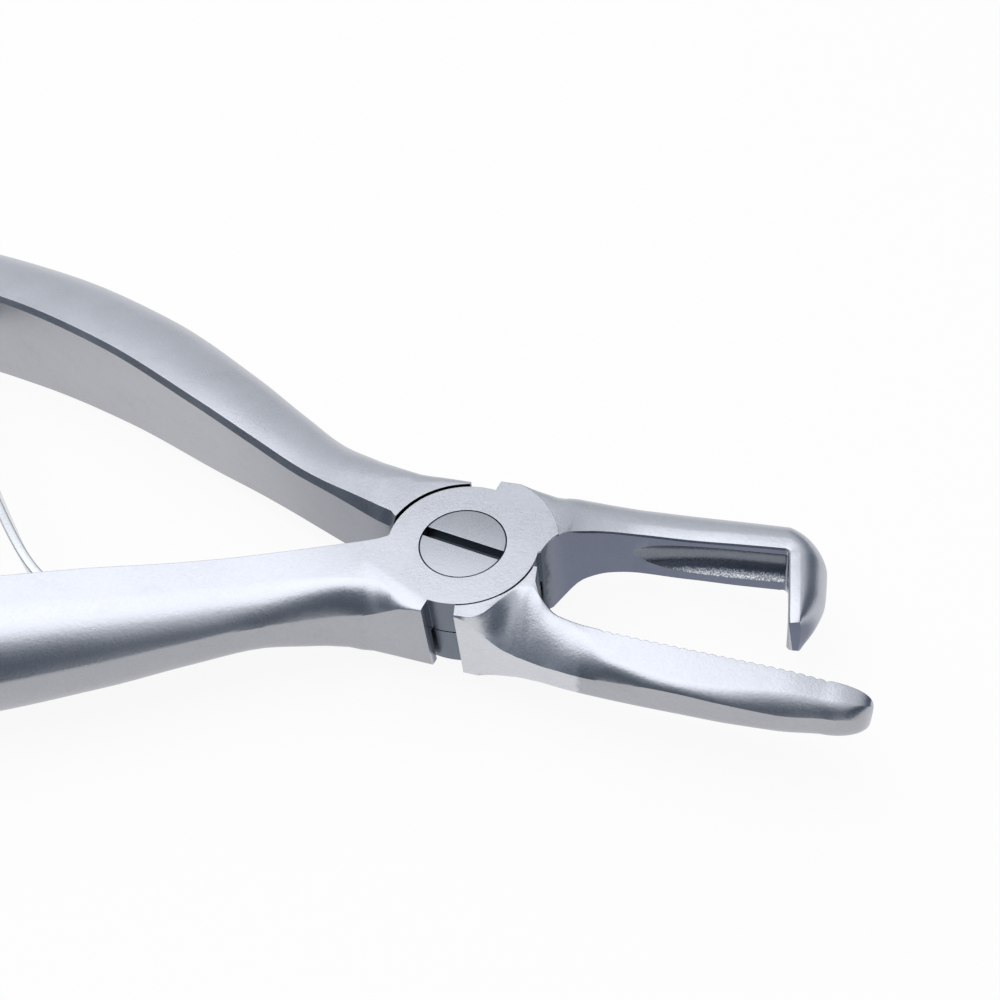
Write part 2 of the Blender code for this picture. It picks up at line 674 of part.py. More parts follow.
def leaf_spring():
    """Flat leaf, screwed to one handle, whose curled tip bears on the other."""
    bm = bmesh.new()
    low = (JOINT_THICK - LEAF_WIDTH) / 2
    rows = [[bm.verts.new((*point, low)), bm.verts.new((*point, low + LEAF_WIDTH))]
            for point in leaf_path()]
    for near, far in zip(rows, rows[1:]):
        bm.faces.new((near[0], far[0], far[1], near[1]))
    leaf = add_object("leaf_spring", bm, cutters)
    shell = leaf.modifiers.new("thickness", "SOLIDIFY")
    shell.thickness = LEAF_THICK
    shell.offset = 0.0
    shell.use_even_offset = True
    graph = bpy.context.evaluated_depsgraph_get()
    mesh = bpy.data.meshes.new_from_object(leaf.evaluated_get(graph))
    leaf.modifiers.clear()
    leaf.data = mesh
    seat, inward = spring_seat(SPRING_SCREW_AT)
    far_side = LEAF_SEAT_GAP + LEAF_THICK + PAST
    hole = cylinder("leaf_hole", SPRING_SHANK_RADIUS + SPRING_SCREW_GAP, -PAST, far_side, 32)
    hole.data.transform(stand(seat, inward))
    boolean(leaf, hole, "DIFFERENCE")
    return finish(leaf, "leaf_spring", SPRING_STEEL)


def spring_screw():
    """Cheese-head screw through the root of the leaf into the serrated half's handle."""
    under = LEAF_SEAT_GAP + LEAF_THICK + SPRING_SCREW_GAP
    top = under + SPRING_HEAD_THICK
    rim = SPRING_SCREW_RIM
    bottom = -SPRING_SHANK_DEPTH
    profile = (
        (0.0, top), (SPRING_HEAD_RADIUS - rim, top), (SPRING_HEAD_RADIUS, top - rim),
        (SPRING_HEAD_RADIUS, under), (SPRING_SHANK_RADIUS, under),
        (SPRING_SHANK_RADIUS, bottom + rim), (SPRING_SHANK_RADIUS - rim, bottom), (0.0, bottom),
    )
    screw = turned("spring_screw", profile, 48)
    size = (3 * SPRING_HEAD_RADIUS, SPRING_SLOT_WIDTH, 2 * SPRING_SLOT_DEPTH)
    boolean(screw, box("spring_slot", size, (0.0, 0.0, top)), "DIFFERENCE")
    seat, inward = spring_seat(SPRING_SCREW_AT)
    screw.data.transform(stand(seat, inward))
    return finish(screw, "spring_screw", SCREW_STEEL)


def metal(name, colour, roughness):
    """Bare metal with its own colour and finish."""
    material = bpy.data.materials.new(name)
    material.use_nodes = True
    shader = material.node_tree.nodes["Principled BSDF"]
    shader.inputs["Base Color"].default_value = (*colour, 1.0)
    shader.inputs["Roughness"].default_value = roughness
    shader.inputs["Metallic"].default_value = 1.0
    return material


def finish(obj, name, material):
    """Move a made piece to the object's collection, with its name, material and shading."""
    for collection in list(obj.users_collection):
        collection.objects.unlink(obj)
    forceps.objects.link(obj)
    obj.name = name
    obj.data.name = name
    obj.hide_render = False
    obj.display_type = "TEXTURED"
    obj.data.materials.clear()
    obj.data.materials.append(metal(name + "_" + material[0], *material[1:]))
    obj.data.shade_smooth()
    obj.data.set_sharp_from_angle(angle=math.radians(28))
    return obj


clear_scene()
for collection in (forceps, cutters):
    bpy.context.scene.collection.children.link(collection)
hook_half()
serrated_half()
joint_screw()
leaf_spring()
spring_screw()
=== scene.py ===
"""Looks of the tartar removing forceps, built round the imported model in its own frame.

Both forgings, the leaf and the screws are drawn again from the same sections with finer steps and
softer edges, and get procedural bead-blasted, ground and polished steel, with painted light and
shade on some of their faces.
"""
import math

import bmesh
import bpy
from mathutils import Matrix, Vector, geometry


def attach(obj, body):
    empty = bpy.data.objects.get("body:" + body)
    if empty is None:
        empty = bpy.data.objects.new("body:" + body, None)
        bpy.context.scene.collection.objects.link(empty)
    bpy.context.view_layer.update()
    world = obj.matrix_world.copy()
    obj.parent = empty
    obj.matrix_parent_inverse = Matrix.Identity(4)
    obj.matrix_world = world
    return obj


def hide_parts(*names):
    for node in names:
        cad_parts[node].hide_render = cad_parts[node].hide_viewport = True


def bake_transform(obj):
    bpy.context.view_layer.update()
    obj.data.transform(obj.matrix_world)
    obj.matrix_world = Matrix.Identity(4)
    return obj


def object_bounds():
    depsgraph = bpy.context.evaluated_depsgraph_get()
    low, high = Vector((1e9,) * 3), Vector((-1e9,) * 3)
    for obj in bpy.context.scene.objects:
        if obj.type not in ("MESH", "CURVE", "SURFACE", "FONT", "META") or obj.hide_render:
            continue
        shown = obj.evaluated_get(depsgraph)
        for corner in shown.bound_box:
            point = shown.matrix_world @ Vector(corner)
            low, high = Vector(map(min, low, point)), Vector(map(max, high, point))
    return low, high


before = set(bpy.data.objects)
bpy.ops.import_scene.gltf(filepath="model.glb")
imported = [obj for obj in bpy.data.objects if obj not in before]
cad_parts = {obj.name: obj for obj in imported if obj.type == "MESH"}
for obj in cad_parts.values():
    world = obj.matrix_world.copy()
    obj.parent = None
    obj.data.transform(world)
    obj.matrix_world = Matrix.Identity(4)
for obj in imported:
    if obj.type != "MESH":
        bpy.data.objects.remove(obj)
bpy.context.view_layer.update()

MM = 0.001

# Lap joint
JOINT_THICK = 9.0 * MM
PLATE_GAP = 0.2 * MM
DISC_RADIUS = 7.5 * MM
HANDLE_POCKET_GAP = 0.4 * MM
JAW_POCKET_GAP = 0.14 * MM
FACE_RADIUS = 9.4 * MM
FACE_RUNOUT = 2.6 * MM
GENTLE_FROM = 8.2 * MM
GENTLE_RUNOUT = 3.6 * MM
FACE_STEP = 0.05 * MM
GRIND = 0.04 * MM
MIDDLE = JOINT_THICK / 2
PARTING = MIDDLE + PLATE_GAP / 2
NOTCH_HALF = math.radians(10.4)
NOTCH_TURN = math.radians(1.9)

# Joint screw
HEAD_RADIUS = 4.25 * MM
HEAD_THICK = 2.4 * MM
SHANK_RADIUS = 2.9 * MM
SLOT_WIDTH = 1.15 * MM
SLOT_DEPTH = 1.3 * MM
SLOT_ANGLE = math.radians(-9.5)
SCREW_GAP = 0.08 * MM
SCREW_RIM = 0.12 * MM
SLOT_WALL_FROM = 0.01

# Handles
HANDLE_REACH = 130.0 * MM
HANDLE_END_ROUND = 7.0 * MM
HANDLE_CORNER_POWER = 2.3
HANDLE_END_LEAN = 0.45
HANDLE_SQUARE_UNTIL = 10.0 * MM

# Jaws
JAW_CORNER_POWER = 2.15
HUB_CORNER_POWER = 6.0
SERRATED_REACH = 40.15 * MM
SERRATED_TIP_ROUND = 4.2 * MM
SERRATED_TIP_LEAN = 0.3
SERRATED_TIP_FLATNESS = 0.35
HOOK_INSIDE = 30.5 * MM
HOOK_CORNER_RADIUS = 0.4 * MM
HOOK_CORNER_TRIM = 0.35 * MM
HOOK_LEAN = math.radians(8.5)
HOOK_LAND = 1.0 * MM
HOOK_LIMB_POWER = 1.75
HOOK_LIP = 0.6 * MM
HOOK_LIP_SLOPE = math.radians(40)
INNER_EDGE = 0.16 * MM

TOOTH_PITCH = 0.88 * MM
TOOTH_DEPTH = 0.3 * MM
TOOTH_FIRST = 15.6 * MM
TOOTH_COUNT = 24
TOOTH_CREST_DROP = 0.03 * MM

GROOVE_RADIUS = 2.3 * MM
GROOVE_DEPTH = 1.55 * MM
GROOVE_START = 15.0 * MM
GROOVE_FULL_AT = 26.0 * MM
GROOVE_RUN_IN = -2.4 * MM
GROOVE_RISE = 0.15 * MM
GROOVE_END_GAP = 0.05 * MM
GROOVE_NEAR = 0.02 * MM

LEAF_THICK = 1.0 * MM
LEAF_WIDTH = 5.0 * MM
LEAF_PAST_SCREW = 6.0 * MM
LEAF_STRAIGHT = 8.0 * MM
LEAF_BEARS_AT = 38.0 * MM
LEAF_LEAVE = 0.232
LEAF_ARRIVE = 0.113
LEAF_TIP_LENGTH = 3.0 * MM
LEAF_TIP_CURL = math.radians(24)
LEAF_SEAT_GAP = 0.3 * MM
LEAF_EDGE = 0.22 * LEAF_THICK
LEAF_END_ROUND = 0.3 * LEAF_WIDTH
LEAF_END_SHARE = 0.62

SPRING_SCREW_AT = 97.0 * MM
SPRING_HEAD_RADIUS = 2.3 * MM
SPRING_HEAD_THICK = 1.5 * MM
SPRING_SHANK_RADIUS = 1.4 * MM
SPRING_SHANK_DEPTH = 5.0 * MM
SPRING_SLOT_WIDTH = 0.7 * MM
SPRING_SLOT_DEPTH = 0.7 * MM
SPRING_SCREW_GAP = 0.1 * MM
SPRING_HEAD_ROUND = 0.4 * MM
SPRING_HEAD_ROUND_STEPS = 6
SPRING_END_ROUND = 0.2 * MM

# Sections, in mm: place along X, inner face from the axis, thickness, height, height of the
# outer flat, width of the top flat, and for the jaws how far the inner face leans back
ROOT_HEIGHT = (JOINT_THICK + GRIND) / MM
HOOK_HANDLE_ROOT = (
    (-2.0, 0.0, 8.7, ROOT_HEIGHT, 8.9, 8.6),
    (5.0, 0.0, 8.9, ROOT_HEIGHT, 7.0, 7.2),
    (7.3, 0.1, 9.0, ROOT_HEIGHT, 5.8, 6.3),
    (7.65, 0.65, 8.55, ROOT_HEIGHT, 5.5, 5.9),
    (8.4, 1.15, 8.2, ROOT_HEIGHT, 5.2, 5.6),
)
SERRATED_HANDLE_ROOT = (
    (-2.0, 2.4, 5.7, ROOT_HEIGHT, 8.9, 5.6),
    (5.0, 2.4, 6.1, ROOT_HEIGHT, 7.0, 4.5),
    (7.3, 2.3, 6.5, ROOT_HEIGHT, 5.8, 3.9),
    (7.75, 1.3, 7.6, ROOT_HEIGHT, 5.5, 5.1),
    (8.4, 1.4, 7.65, ROOT_HEIGHT, 5.2, 5.2),
)
HANDLE_ROWS = (
    (9.8, 1.8, 7.75, ROOT_HEIGHT, 4.4, 4.4),
    (13.7, 3.3, 7.35, 8.7, 2.7, 3.2),
    (20.0, 5.7, 7.4, 8.3, 0.6, 1.2),
    (27.0, 8.7, 8.2, 9.3, 0.3, 0.5),
    (35.0, 12.0, 9.4, 11.1, 0.3, 0.4),
    (50.0, 18.0, 10.7, 13.1, 0.3, 0.4),
    (65.0, 22.2, 11.1, 14.0, 0.3, 0.4),
    (80.0, 24.6, 11.0, 14.2, 0.3, 0.4),
    (95.0, 25.4, 10.6, 13.9, 0.3, 0.4),
    (110.0, 24.7, 10.0, 13.2, 0.3, 0.4),
)
HANDLE_END_ROW = (22.8, 9.2, 12.2, 0.3, 0.4)
HOOK_ROWS = (
    (-2.0, 0.0, 8.7, ROOT_HEIGHT, 8.9, 8.6, 0.0),
    (2.2, 0.0, 8.75, ROOT_HEIGHT, 8.6, 8.4, 0.0),
    (4.5, 0.0, 8.9, ROOT_HEIGHT, 4.4, 7.0, 0.0),
    (7.2, 0.1, 9.2, 8.6, 3.6, 6.0, 0.0),
    (7.75, 0.6, 8.85, 8.5, 3.5, 5.6, -0.2),
    (8.0, 1.6, 7.9, 8.45, 3.4, 4.8, -1.0),
    (8.4, 2.5, 7.1, 8.35, 3.4, 4.2, -1.5),
    (9.1, 3.45, 6.3, 8.1, 3.3, 3.4, -0.8),
    (10.6, 4.45, 5.5, 7.5, 3.1, 2.4, 0.05),
    (13.0, 5.35, 4.85, 6.75, 2.6, 1.4, 0.3),
    (16.0, 5.9, 4.6, 6.25, 1.8, 0.8, 0.2),
    (21.0, 6.35, 4.65, 6.2, 0.8, 0.5, 0.0),
    (26.0, 6.8, 4.5, 6.5, 0.4, 0.5, 0.0),
)
HOOK_CORNER_ROW = (7.2, 4.3, 6.6, 0.3, 0.6, 0.0)
SERRATED_ROWS = (
    (-2.0, 1.0, 7.7, ROOT_HEIGHT, 8.9, 7.6, 0.0),
    (2.2, 1.0, 7.75, ROOT_HEIGHT, 8.6, 7.4, 0.0),
    (4.5, 1.0, 7.9, ROOT_HEIGHT, 4.4, 6.0, 0.0),
    (7.4, 1.0, 8.3, 8.6, 3.6, 5.4, 0.0),
    (7.9, 1.1, 8.3, 8.4, 3.4, 5.4, 0.0),
    (8.2, 2.8, 6.6, 8.2, 3.3, 3.8, 0.0),
    (8.9, 4.1, 5.4, 7.9, 3.1, 2.8, 0.0),
    (9.9, 4.95, 4.7, 7.3, 3.0, 1.9, 0.0),
    (11.0, 5.55, 4.3, 6.8, 2.9, 1.4, 0.0),
    (14.0, 5.9, 4.35, 6.2, 2.6, 0.9, 0.0),
    (20.0, 6.15, 4.4, 6.1, 1.8, 0.7, 0.0),
    (26.0, 6.25, 4.5, 6.0, 0.8, 0.5, 0.0),
    (32.0, 6.4, 4.1, 5.95, 0.4, 0.5, 0.0),
)
SERRATED_TIP_ROW = (6.55, 3.35, 5.5, 0.3, 0.4, 0.0)
HOOK_LIMB_ROWS = (
    (0.6, 3.85, 6.5, 0.4),
    (2.2, 3.75, 6.35, 0.4),
    (3.8, 3.6, 6.15, 0.35),
    (5.6, 3.0, 5.8, 0.3),
    (6.7, 2.4, 5.45, 0.2),
    (7.0, 2.15, 5.35, 0.2),
    (7.4, 1.8, 5.2, 0.48),
    (7.8, 1.25, 5.0, 0.8),
)

# The half of each section that the photograph shows, where it differs from the table: place,
# height of the outer flat, angle at which the corner meets it, width and slope of the land, width
# of the inner edge, power of the corner's curve; angles in degrees
HOOK_HANDLE_SIDE = (
    (-2.0, 8.9, 0.0, 8.6, 0.0, 0.16, 1.4),
    (2.8, 8.7, 10.0, 8.3, 0.0, 0.16, 1.4),
    (4.5, 7.1, 26.0, 7.3, 0.0, 0.16, 1.4),
    (6.6, 5.1, 28.0, 6.1, 0.0, 0.16, 1.5),
    (7.3, 4.6, 28.0, 6.0, 0.0, 0.16, 1.55),
    (7.65, 4.35, 28.0, 5.5, 0.0, 0.16, 1.6),
    (8.4, 4.0, 28.0, 5.15, 0.0, 0.16, 1.65),
    (9.7, 3.5, 28.0, 4.8, 0.5, 0.16, 1.7),
    (12.9, 3.2, 28.0, 4.0, 2.0, 0.16, 1.9),
    (20.0, 3.4, 26.0, 3.4, 4.0, 0.16, 2.0),
    (35.0, 3.4, 24.0, 3.6, 4.0, 0.16, 2.0),
    (65.0, 3.6, 24.0, 3.6, 4.0, 0.16, 2.0),
    (110.0, 3.4, 20.0, 3.2, 4.0, 0.16, 2.0),
    (130.0, 3.0, 10.0, 2.0, 4.0, 0.16, 2.2),
)
SERRATED_HANDLE_EDGE = (
    (-2.0, 0.16),
    (7.0, 0.16),
    (8.5, 1.15),
    (12.0, 0.95),
    (18.0, 0.6),
    (60.0, 0.55),
    (130.0, 0.45),
)
# Here the land's width is given as the distance of its outer edge from the pivot axis
SERRATED_SIDE = (
    (-2.0, 8.9, 0.0, 8.6, 0.0, 0.16, 1.1),
    (2.2, 8.75, 10.0, 8.7, 0.0, 0.16, 1.1),
    (3.4, 6.9, 28.0, 8.5, 0.0, 0.16, 1.1),
    (4.4, 5.3, 38.0, 7.8, 0.0, 0.16, 1.2),
    (5.7, 3.4, 46.0, 5.6, 0.0, 0.16, 1.35),
    (6.9, 2.3, 48.0, 3.9, 0.0, 0.16, 1.4),
    (8.3, 1.6, 45.0, 3.6, 0.0, 0.16, 1.4),
    (10.3, 1.3, 45.0, 4.6, 0.0, 0.16, 1.5),
    (12.3, 1.8, 44.0, 6.0, 2.0, 0.16, 1.6),
    (14.3, 1.9, 40.0, 7.0, 4.0, 0.16, 1.6),
    (17.0, 2.4, 33.0, 8.7, 8.0, 0.16, 1.8),
    (21.0, 3.7, 28.0, 9.2, 8.0, 0.16, 1.75),
    (24.0, 3.95, 28.0, 9.5, 7.0, 0.16, 1.6),
    (27.0, 3.75, 28.0, 9.3, 6.5, 0.16, 1.5),
    (33.0, 2.8, 28.0, 8.6, 6.0, 0.16, 1.45),
    (36.0, 2.9, 30.0, 8.5, 5.5, 0.16, 1.5),
    (41.0, 3.6, 30.0, 8.5, 5.0, 0.16, 1.5),
)
# The top of the hook jaw dips towards its inner edge: place, width of the land, slope
HOOK_SIDE = (
    (-2.0, 8.6, 0.0),
    (10.0, 2.6, 0.0),
    (14.0, 1.3, -4.0),
    (20.0, 1.2, -10.0),
    (31.0, 1.2, -12.0),
)

# Fineness
CORNER_STEPS = 16
EDGE_STEPS = 4
DOME_RINGS = 16
TURN_RINGS = 20
STEP_LENGTH = 0.5 * MM
HANDLE_STEP_LENGTH = 1.5 * MM
LEAF_ROOT_STEPS = 10
LEAF_BOW_STEPS = 60
LEAF_TIP_STEPS = 10
SNAP = 0.00001 * MM
CUT_DISTANCE = 1e-7
WELD = 0.001 * MM
PAST = 1.0 * MM
SLOPE_REACH = 0.5 * MM
ROUND_STEPS = 192
ROUNDING_STEPS = 4
SHANK_STEPS = 64
SMALL_SCREW_STEPS = 96
GROOVE_STEPS = 60
GROOVE_SIDES = 96
DOME_OPEN = 0.4

# Limits of a section's parts, as shares of its thickness and half height
EDGE_MOST = 0.25
LAND_LEAST = 1.2
LAND_MOST = 0.97
FLAT_MOST = 0.96
OUTER_MOST = 0.97
HUB_FLAT = 0.9
HUB_LAND = 0.96


# Shapes

def add_object(name, bm):
    mesh = bpy.data.meshes.new(name)
    bm.to_mesh(mesh)
    bm.free()
    obj = bpy.data.objects.new(name, mesh)
    bpy.context.scene.collection.objects.link(obj)
    return obj


def snap_levels(verts):
    """Put what lies next to one of the joint's planes exactly into it."""
    for vert in verts:
        for level in (0.0, PARTING, JOINT_THICK):
            if abs(vert.co.z - level) < SNAP:
                vert.co.z = level


def boolean(target, tool, operation):
    modifier = target.modifiers.new(operation.lower(), "BOOLEAN")
    modifier.operation = operation
    modifier.solver = "EXACT"
    modifier.object = tool
    graph = bpy.context.evaluated_depsgraph_get()
    result = bpy.data.meshes.new_from_object(target.evaluated_get(graph))
    target.modifiers.clear()
    snap_levels(result.vertices)
    target.data = result
    bpy.data.objects.remove(tool, do_unlink=True)


def cylinder(name, radius, low, high, segments=ROUND_STEPS):
    bm = bmesh.new()
    bmesh.ops.create_cone(
        bm, cap_ends=True, segments=segments, radius1=radius, radius2=radius, depth=high - low
    )
    for vert in bm.verts:
        vert.co.z = high if vert.co.z > 0 else low
    return add_object(name, bm)


def box(name, size, centre, turn):
    bm = bmesh.new()
    bmesh.ops.create_cube(bm, size=1.0)
    bmesh.ops.scale(bm, verts=bm.verts, vec=size)
    bmesh.ops.translate(bm, verts=bm.verts, vec=centre)
    bmesh.ops.transform(bm, matrix=Matrix.Rotation(turn, 4, "Z"), verts=bm.verts)
    return add_object(name, bm)


def between(rows, place):
    """Read a table of sections at any place, on smooth curves through its rows."""
    last = len(rows) - 1
    index = 0
    while index < last - 1 and place > rows[index + 1][0]:
        index += 1

    def rise(near, far, column):
        return (rows[far][column] - rows[near][column]) / (rows[far][0] - rows[near][0])

    def slope(at, column):
        if at in (0, last):
            return rise(max(at - 1, 0), min(at + 1, last), column)
        before = rise(at - 1, at, column)
        after = rise(at, at + 1, column)
        if before * after <= 0:
            return 0.0
        return 2 * before * after / (before + after)

    width = rows[index + 1][0] - rows[index][0]
    s = (place - rows[index][0]) / width
    values = []
    for column in range(1, len(rows[0])):
        start = rows[index][column]
        end = rows[index + 1][column]
        leave = slope(index, column) * width
        arrive = slope(index + 1, column) * width
        values.append(
            start * (2 * s**3 - 3 * s**2 + 1)
            + leave * (s**3 - 2 * s**2 + s)
            + end * (3 * s**2 - 2 * s**3)
            + arrive * (s**3 - s**2)
        )
    return values


def metres(rows):
    return tuple(tuple(value * MM for value in row) for row in rows)


def places(rows, start, end, step):
    """Places about a step apart from start to end, each row's own among them."""
    stations = [start]
    marks = [row[0] for row in rows if start < row[0] < end] + [end]
    for mark in marks:
        count = max(1, round((mark - stations[-1]) / step))
        first = stations[-1]
        stations += [first + (mark - first) * k / count for k in range(1, count + 1)]
    return stations


def quarter(thick, half, flat, crease, land, slope, edge, power):
    """One half of a section from the inner edge over the land and the corner to the outer flat.

    crease is the angle at which the corner meets the outer flat, and slope how steeply the land
    falls outward, or inward where it is negative.
    """
    edge = min(edge, thick * EDGE_MOST, half * EDGE_MOST)
    land = min(max(land, edge * LAND_LEAST), thick * LAND_MOST)
    flat = min(flat / 2, half * FLAT_MOST)
    fall = math.tan(slope) * (land - edge)
    inner = half + min(fall, 0.0)
    outer = half - max(fall, 0.0)
    flat = min(flat, outer * OUTER_MOST)
    points = []
    for k in range(EDGE_STEPS + 1):
        share = k / EDGE_STEPS
        points.append((edge * share, inner - edge * (1 - share)))
    first = math.pi / 2 - max(slope, 0.0)
    left = max(math.cos(first), 0.0) ** (2 / power)
    low = math.sin(crease) ** (2 / power)
    high = math.sin(first) ** (2 / power)
    right = math.cos(crease) ** (2 / power)
    for k in range(CORNER_STEPS + 1):
        turn = first + (crease - first) * k / CORNER_STEPS
        across = max(math.cos(turn), 0.0) ** (2 / power)
        rise = max(math.sin(turn), 0.0) ** (2 / power)
        out = land + (thick - land) * (across - left) / (right - left)
        points.append((out, flat + (outer - flat) * (rise - low) / (high - low)))
    return points


def section(thick, height, flat, land, power, lean=0.0, above=None, below=None):
    """Ring of one section.

    above and below are a half's own flat, crease, land, slope, edge and power.
    """
    plain = (flat, 0.0, land, 0.0, INNER_EDGE, power)
    upper = quarter(thick, height / 2, *(above or plain))
    lower = quarter(thick, height / 2, *(below or plain))
    pairs = upper + [(out, -up) for out, up in reversed(lower)]
    leaning = []
    for out, up in pairs:
        back = lean * (height / 2 - up) / height
        leaning.append((back + out * (thick - back) / thick, up))
    return leaning


def side(table, place, shrink=1.0):
    """Read one half's own flat, crease, land, slope, edge and power."""
    flat, crease, land, slope, edge, power = between(table, place / MM)
    return (flat * MM * shrink, math.radians(crease), land * MM * shrink, math.radians(slope),
            edge * MM * shrink, power)


def ring(origin, outward, pairs, face=None):
    points = []
    for out, up in pairs:
        x = origin[0] + outward[0] * out
        y = origin[1] + outward[1] * out
        if face:
            up = face(x, y, up)
        points.append((x, y, MIDDLE + up))
    return points


def raise_to_face(flat, low, height, gentle):
    """Lift what lies above the outer flat to the joint's face, near the joint.

    On the gentle side the section above its crease is stretched, so the crease stays in place.
    """
    top = MIDDLE - FACE_STEP

    def raised(x, y, up):
        if -low / 2 - SNAP <= up <= flat / 2 + SNAP:
            return up
        if gentle and up < 0:
            away = min(max(math.hypot(x, y) - GENTLE_FROM, 0.0) / GENTLE_RUNOUT, 1.0)
            share = 1 - 3 * away**2 + 2 * away**3
            above = (-up - low / 2) / max(height / 2 - low / 2, SNAP)
            return up - max(top - height / 2, 0.0) * share * above
        distance = max(math.hypot(x, y) - FACE_RADIUS, 0.0)
        share = max(0.0, 1 - distance / FACE_RUNOUT) ** 2
        return math.copysign(abs(up) + (top - abs(up)) * share, up)

    return raised


def loft(name, rings):
    """Closed skin over rings of equally many points."""
    bm = bmesh.new()
    rows = [[bm.verts.new(point) for point in points] for points in rings]
    count = len(rows[0])
    for near, far in zip(rows, rows[1:]):
        for k in range(count):
            after = (k + 1) % count
            bm.faces.new((near[k], near[after], far[after], far[k]))
    bm.faces.new(rows[0])
    bm.faces.new(list(reversed(rows[-1])))
    bmesh.ops.recalc_face_normals(bm, faces=bm.faces)
    snap_levels(bm.verts)
    return add_object(name, bm)


def dome():
    """Steps of a rounded end: how far along it and how much of the section is left."""
    steps = []
    for k in range(1, DOME_RINGS + 1):
        along = math.sin(math.pi / 2 * k / (DOME_RINGS + DOME_OPEN))
        steps.append((along, math.sqrt(1 - along * along)))
    return steps


def trim(obj, point, normal):
    """Keep what lies on the side of a plane that its normal looks to."""
    bm = bmesh.new()
    bm.from_mesh(obj.data)
    everything = bm.verts[:] + bm.edges[:] + bm.faces[:]
    cut = bmesh.ops.bisect_plane(
        bm, geom=everything, dist=CUT_DISTANCE, plane_co=point, plane_no=normal, clear_inner=True
    )
    edges = [item for item in cut["geom_cut"] if isinstance(item, bmesh.types.BMEdge)]
    bmesh.ops.holes_fill(bm, edges=edges)
    bmesh.ops.recalc_face_normals(bm, faces=bm.faces)
    snap_levels(bm.verts)
    bm.to_mesh(obj.data)
    bm.free()


def cut_off(obj, angle):
    """Keep what lies clockwise of the upright plane through the pivot axis at an angle."""
    trim(obj, Vector(), Vector((math.sin(angle), -math.cos(angle), 0.0)))


def handle_rows(root):
    end = (HANDLE_REACH - HANDLE_END_ROUND) / MM
    return metres(root + HANDLE_ROWS + ((end, *HANDLE_END_ROW),))


def handle_face(rows, back):
    """Point on a handle's inner face and the way from there to its outer face."""
    inner = between(rows, back)[0]
    ahead = between(rows, back + SLOPE_REACH)[0]
    behind = between(rows, back - SLOPE_REACH)[0]
    slope = (ahead - behind) / (2 * SLOPE_REACH)
    follow = min(max(back / HANDLE_SQUARE_UNTIL - 1, 0.0), 1.0)
    lean = math.atan(slope) * follow
    return Vector((-back, -inner)), Vector((math.sin(lean), -math.cos(lean)))


def handle_halves(place, flat, land, shrink=1.0):
    """The half of a handle's section that faces up as drawn, and the one that faces down."""
    edge = between(SERRATED_HANDLE_EDGE, place / MM)[0] * MM
    return {"above": side(HOOK_HANDLE_SIDE, place, shrink),
            "below": (flat * shrink, 0.0, land * shrink, 0.0, edge * shrink,
                      HANDLE_CORNER_POWER)}


def handle(rows):
    body_end = HANDLE_REACH - HANDLE_END_ROUND
    rings = []
    for back in places(rows, rows[0][0], body_end, HANDLE_STEP_LENGTH):
        inner, thick, height, flat, land = between(rows, back)
        point, outward = handle_face(rows, back)
        pairs = section(thick, height, flat, land, HANDLE_CORNER_POWER,
                        **handle_halves(back, flat, land))
        rings.append(ring(point, outward, pairs))
    outward = handle_face(rows, body_end - SLOPE_REACH)[1]
    along = Vector((outward[1], -outward[0]))
    inner, thick, height, flat, land = between(rows, body_end)
    start = Vector((-body_end, -inner))
    for share, shrink in dome():
        aside = thick * HANDLE_END_LEAN * (1 - shrink)
        centre = start + outward * aside + along * (HANDLE_END_ROUND * share)
        pairs = section(thick * shrink, height * shrink, flat * shrink, land * shrink,
                        HANDLE_CORNER_POWER, **handle_halves(body_end, flat, land, shrink))
        rings.append(ring(centre, outward, pairs))
    return loft("handle_blank", rings)


def jaw_root(rows, end, halves):
    rings = []
    for place in places(rows, rows[0][0], end, STEP_LENGTH):
        inner, thick, height, flat, land, lean = between(rows, place)
        own = halves(place, flat, inner)
        pairs = section(thick, height, flat, land, JAW_CORNER_POWER, lean, **own)
        gentle = "below" in own
        low = own["below"][0] if gentle else flat
        face = raise_to_face(flat, low, height, gentle)
        rings.append(ring((place, inner), (0.0, 1.0), pairs, face))
    return rings


def hook_halves(place, flat, _inner):
    """The upper half of the hook jaw's section, where its ground land begins."""
    if place < HOOK_SIDE[1][0] * MM:
        return {}
    land, slope = between(HOOK_SIDE, place / MM)
    return {"above": (flat, 0.0, land * MM, math.radians(slope), INNER_EDGE, JAW_CORNER_POWER)}


def serrated_halves(place, _flat, inner, shrink=1.0):
    """The lower half of the serrated jaw's section, which faces up once the half is turned."""
    flat, crease, land, slope, edge, power = side(SERRATED_SIDE, place)
    return {"below": (flat * shrink, crease, (land - inner) * shrink, slope, edge * shrink, power)}


def hook_rows():
    return metres(HOOK_ROWS + (((HOOK_INSIDE - HOOK_CORNER_RADIUS) / MM, *HOOK_CORNER_ROW),))


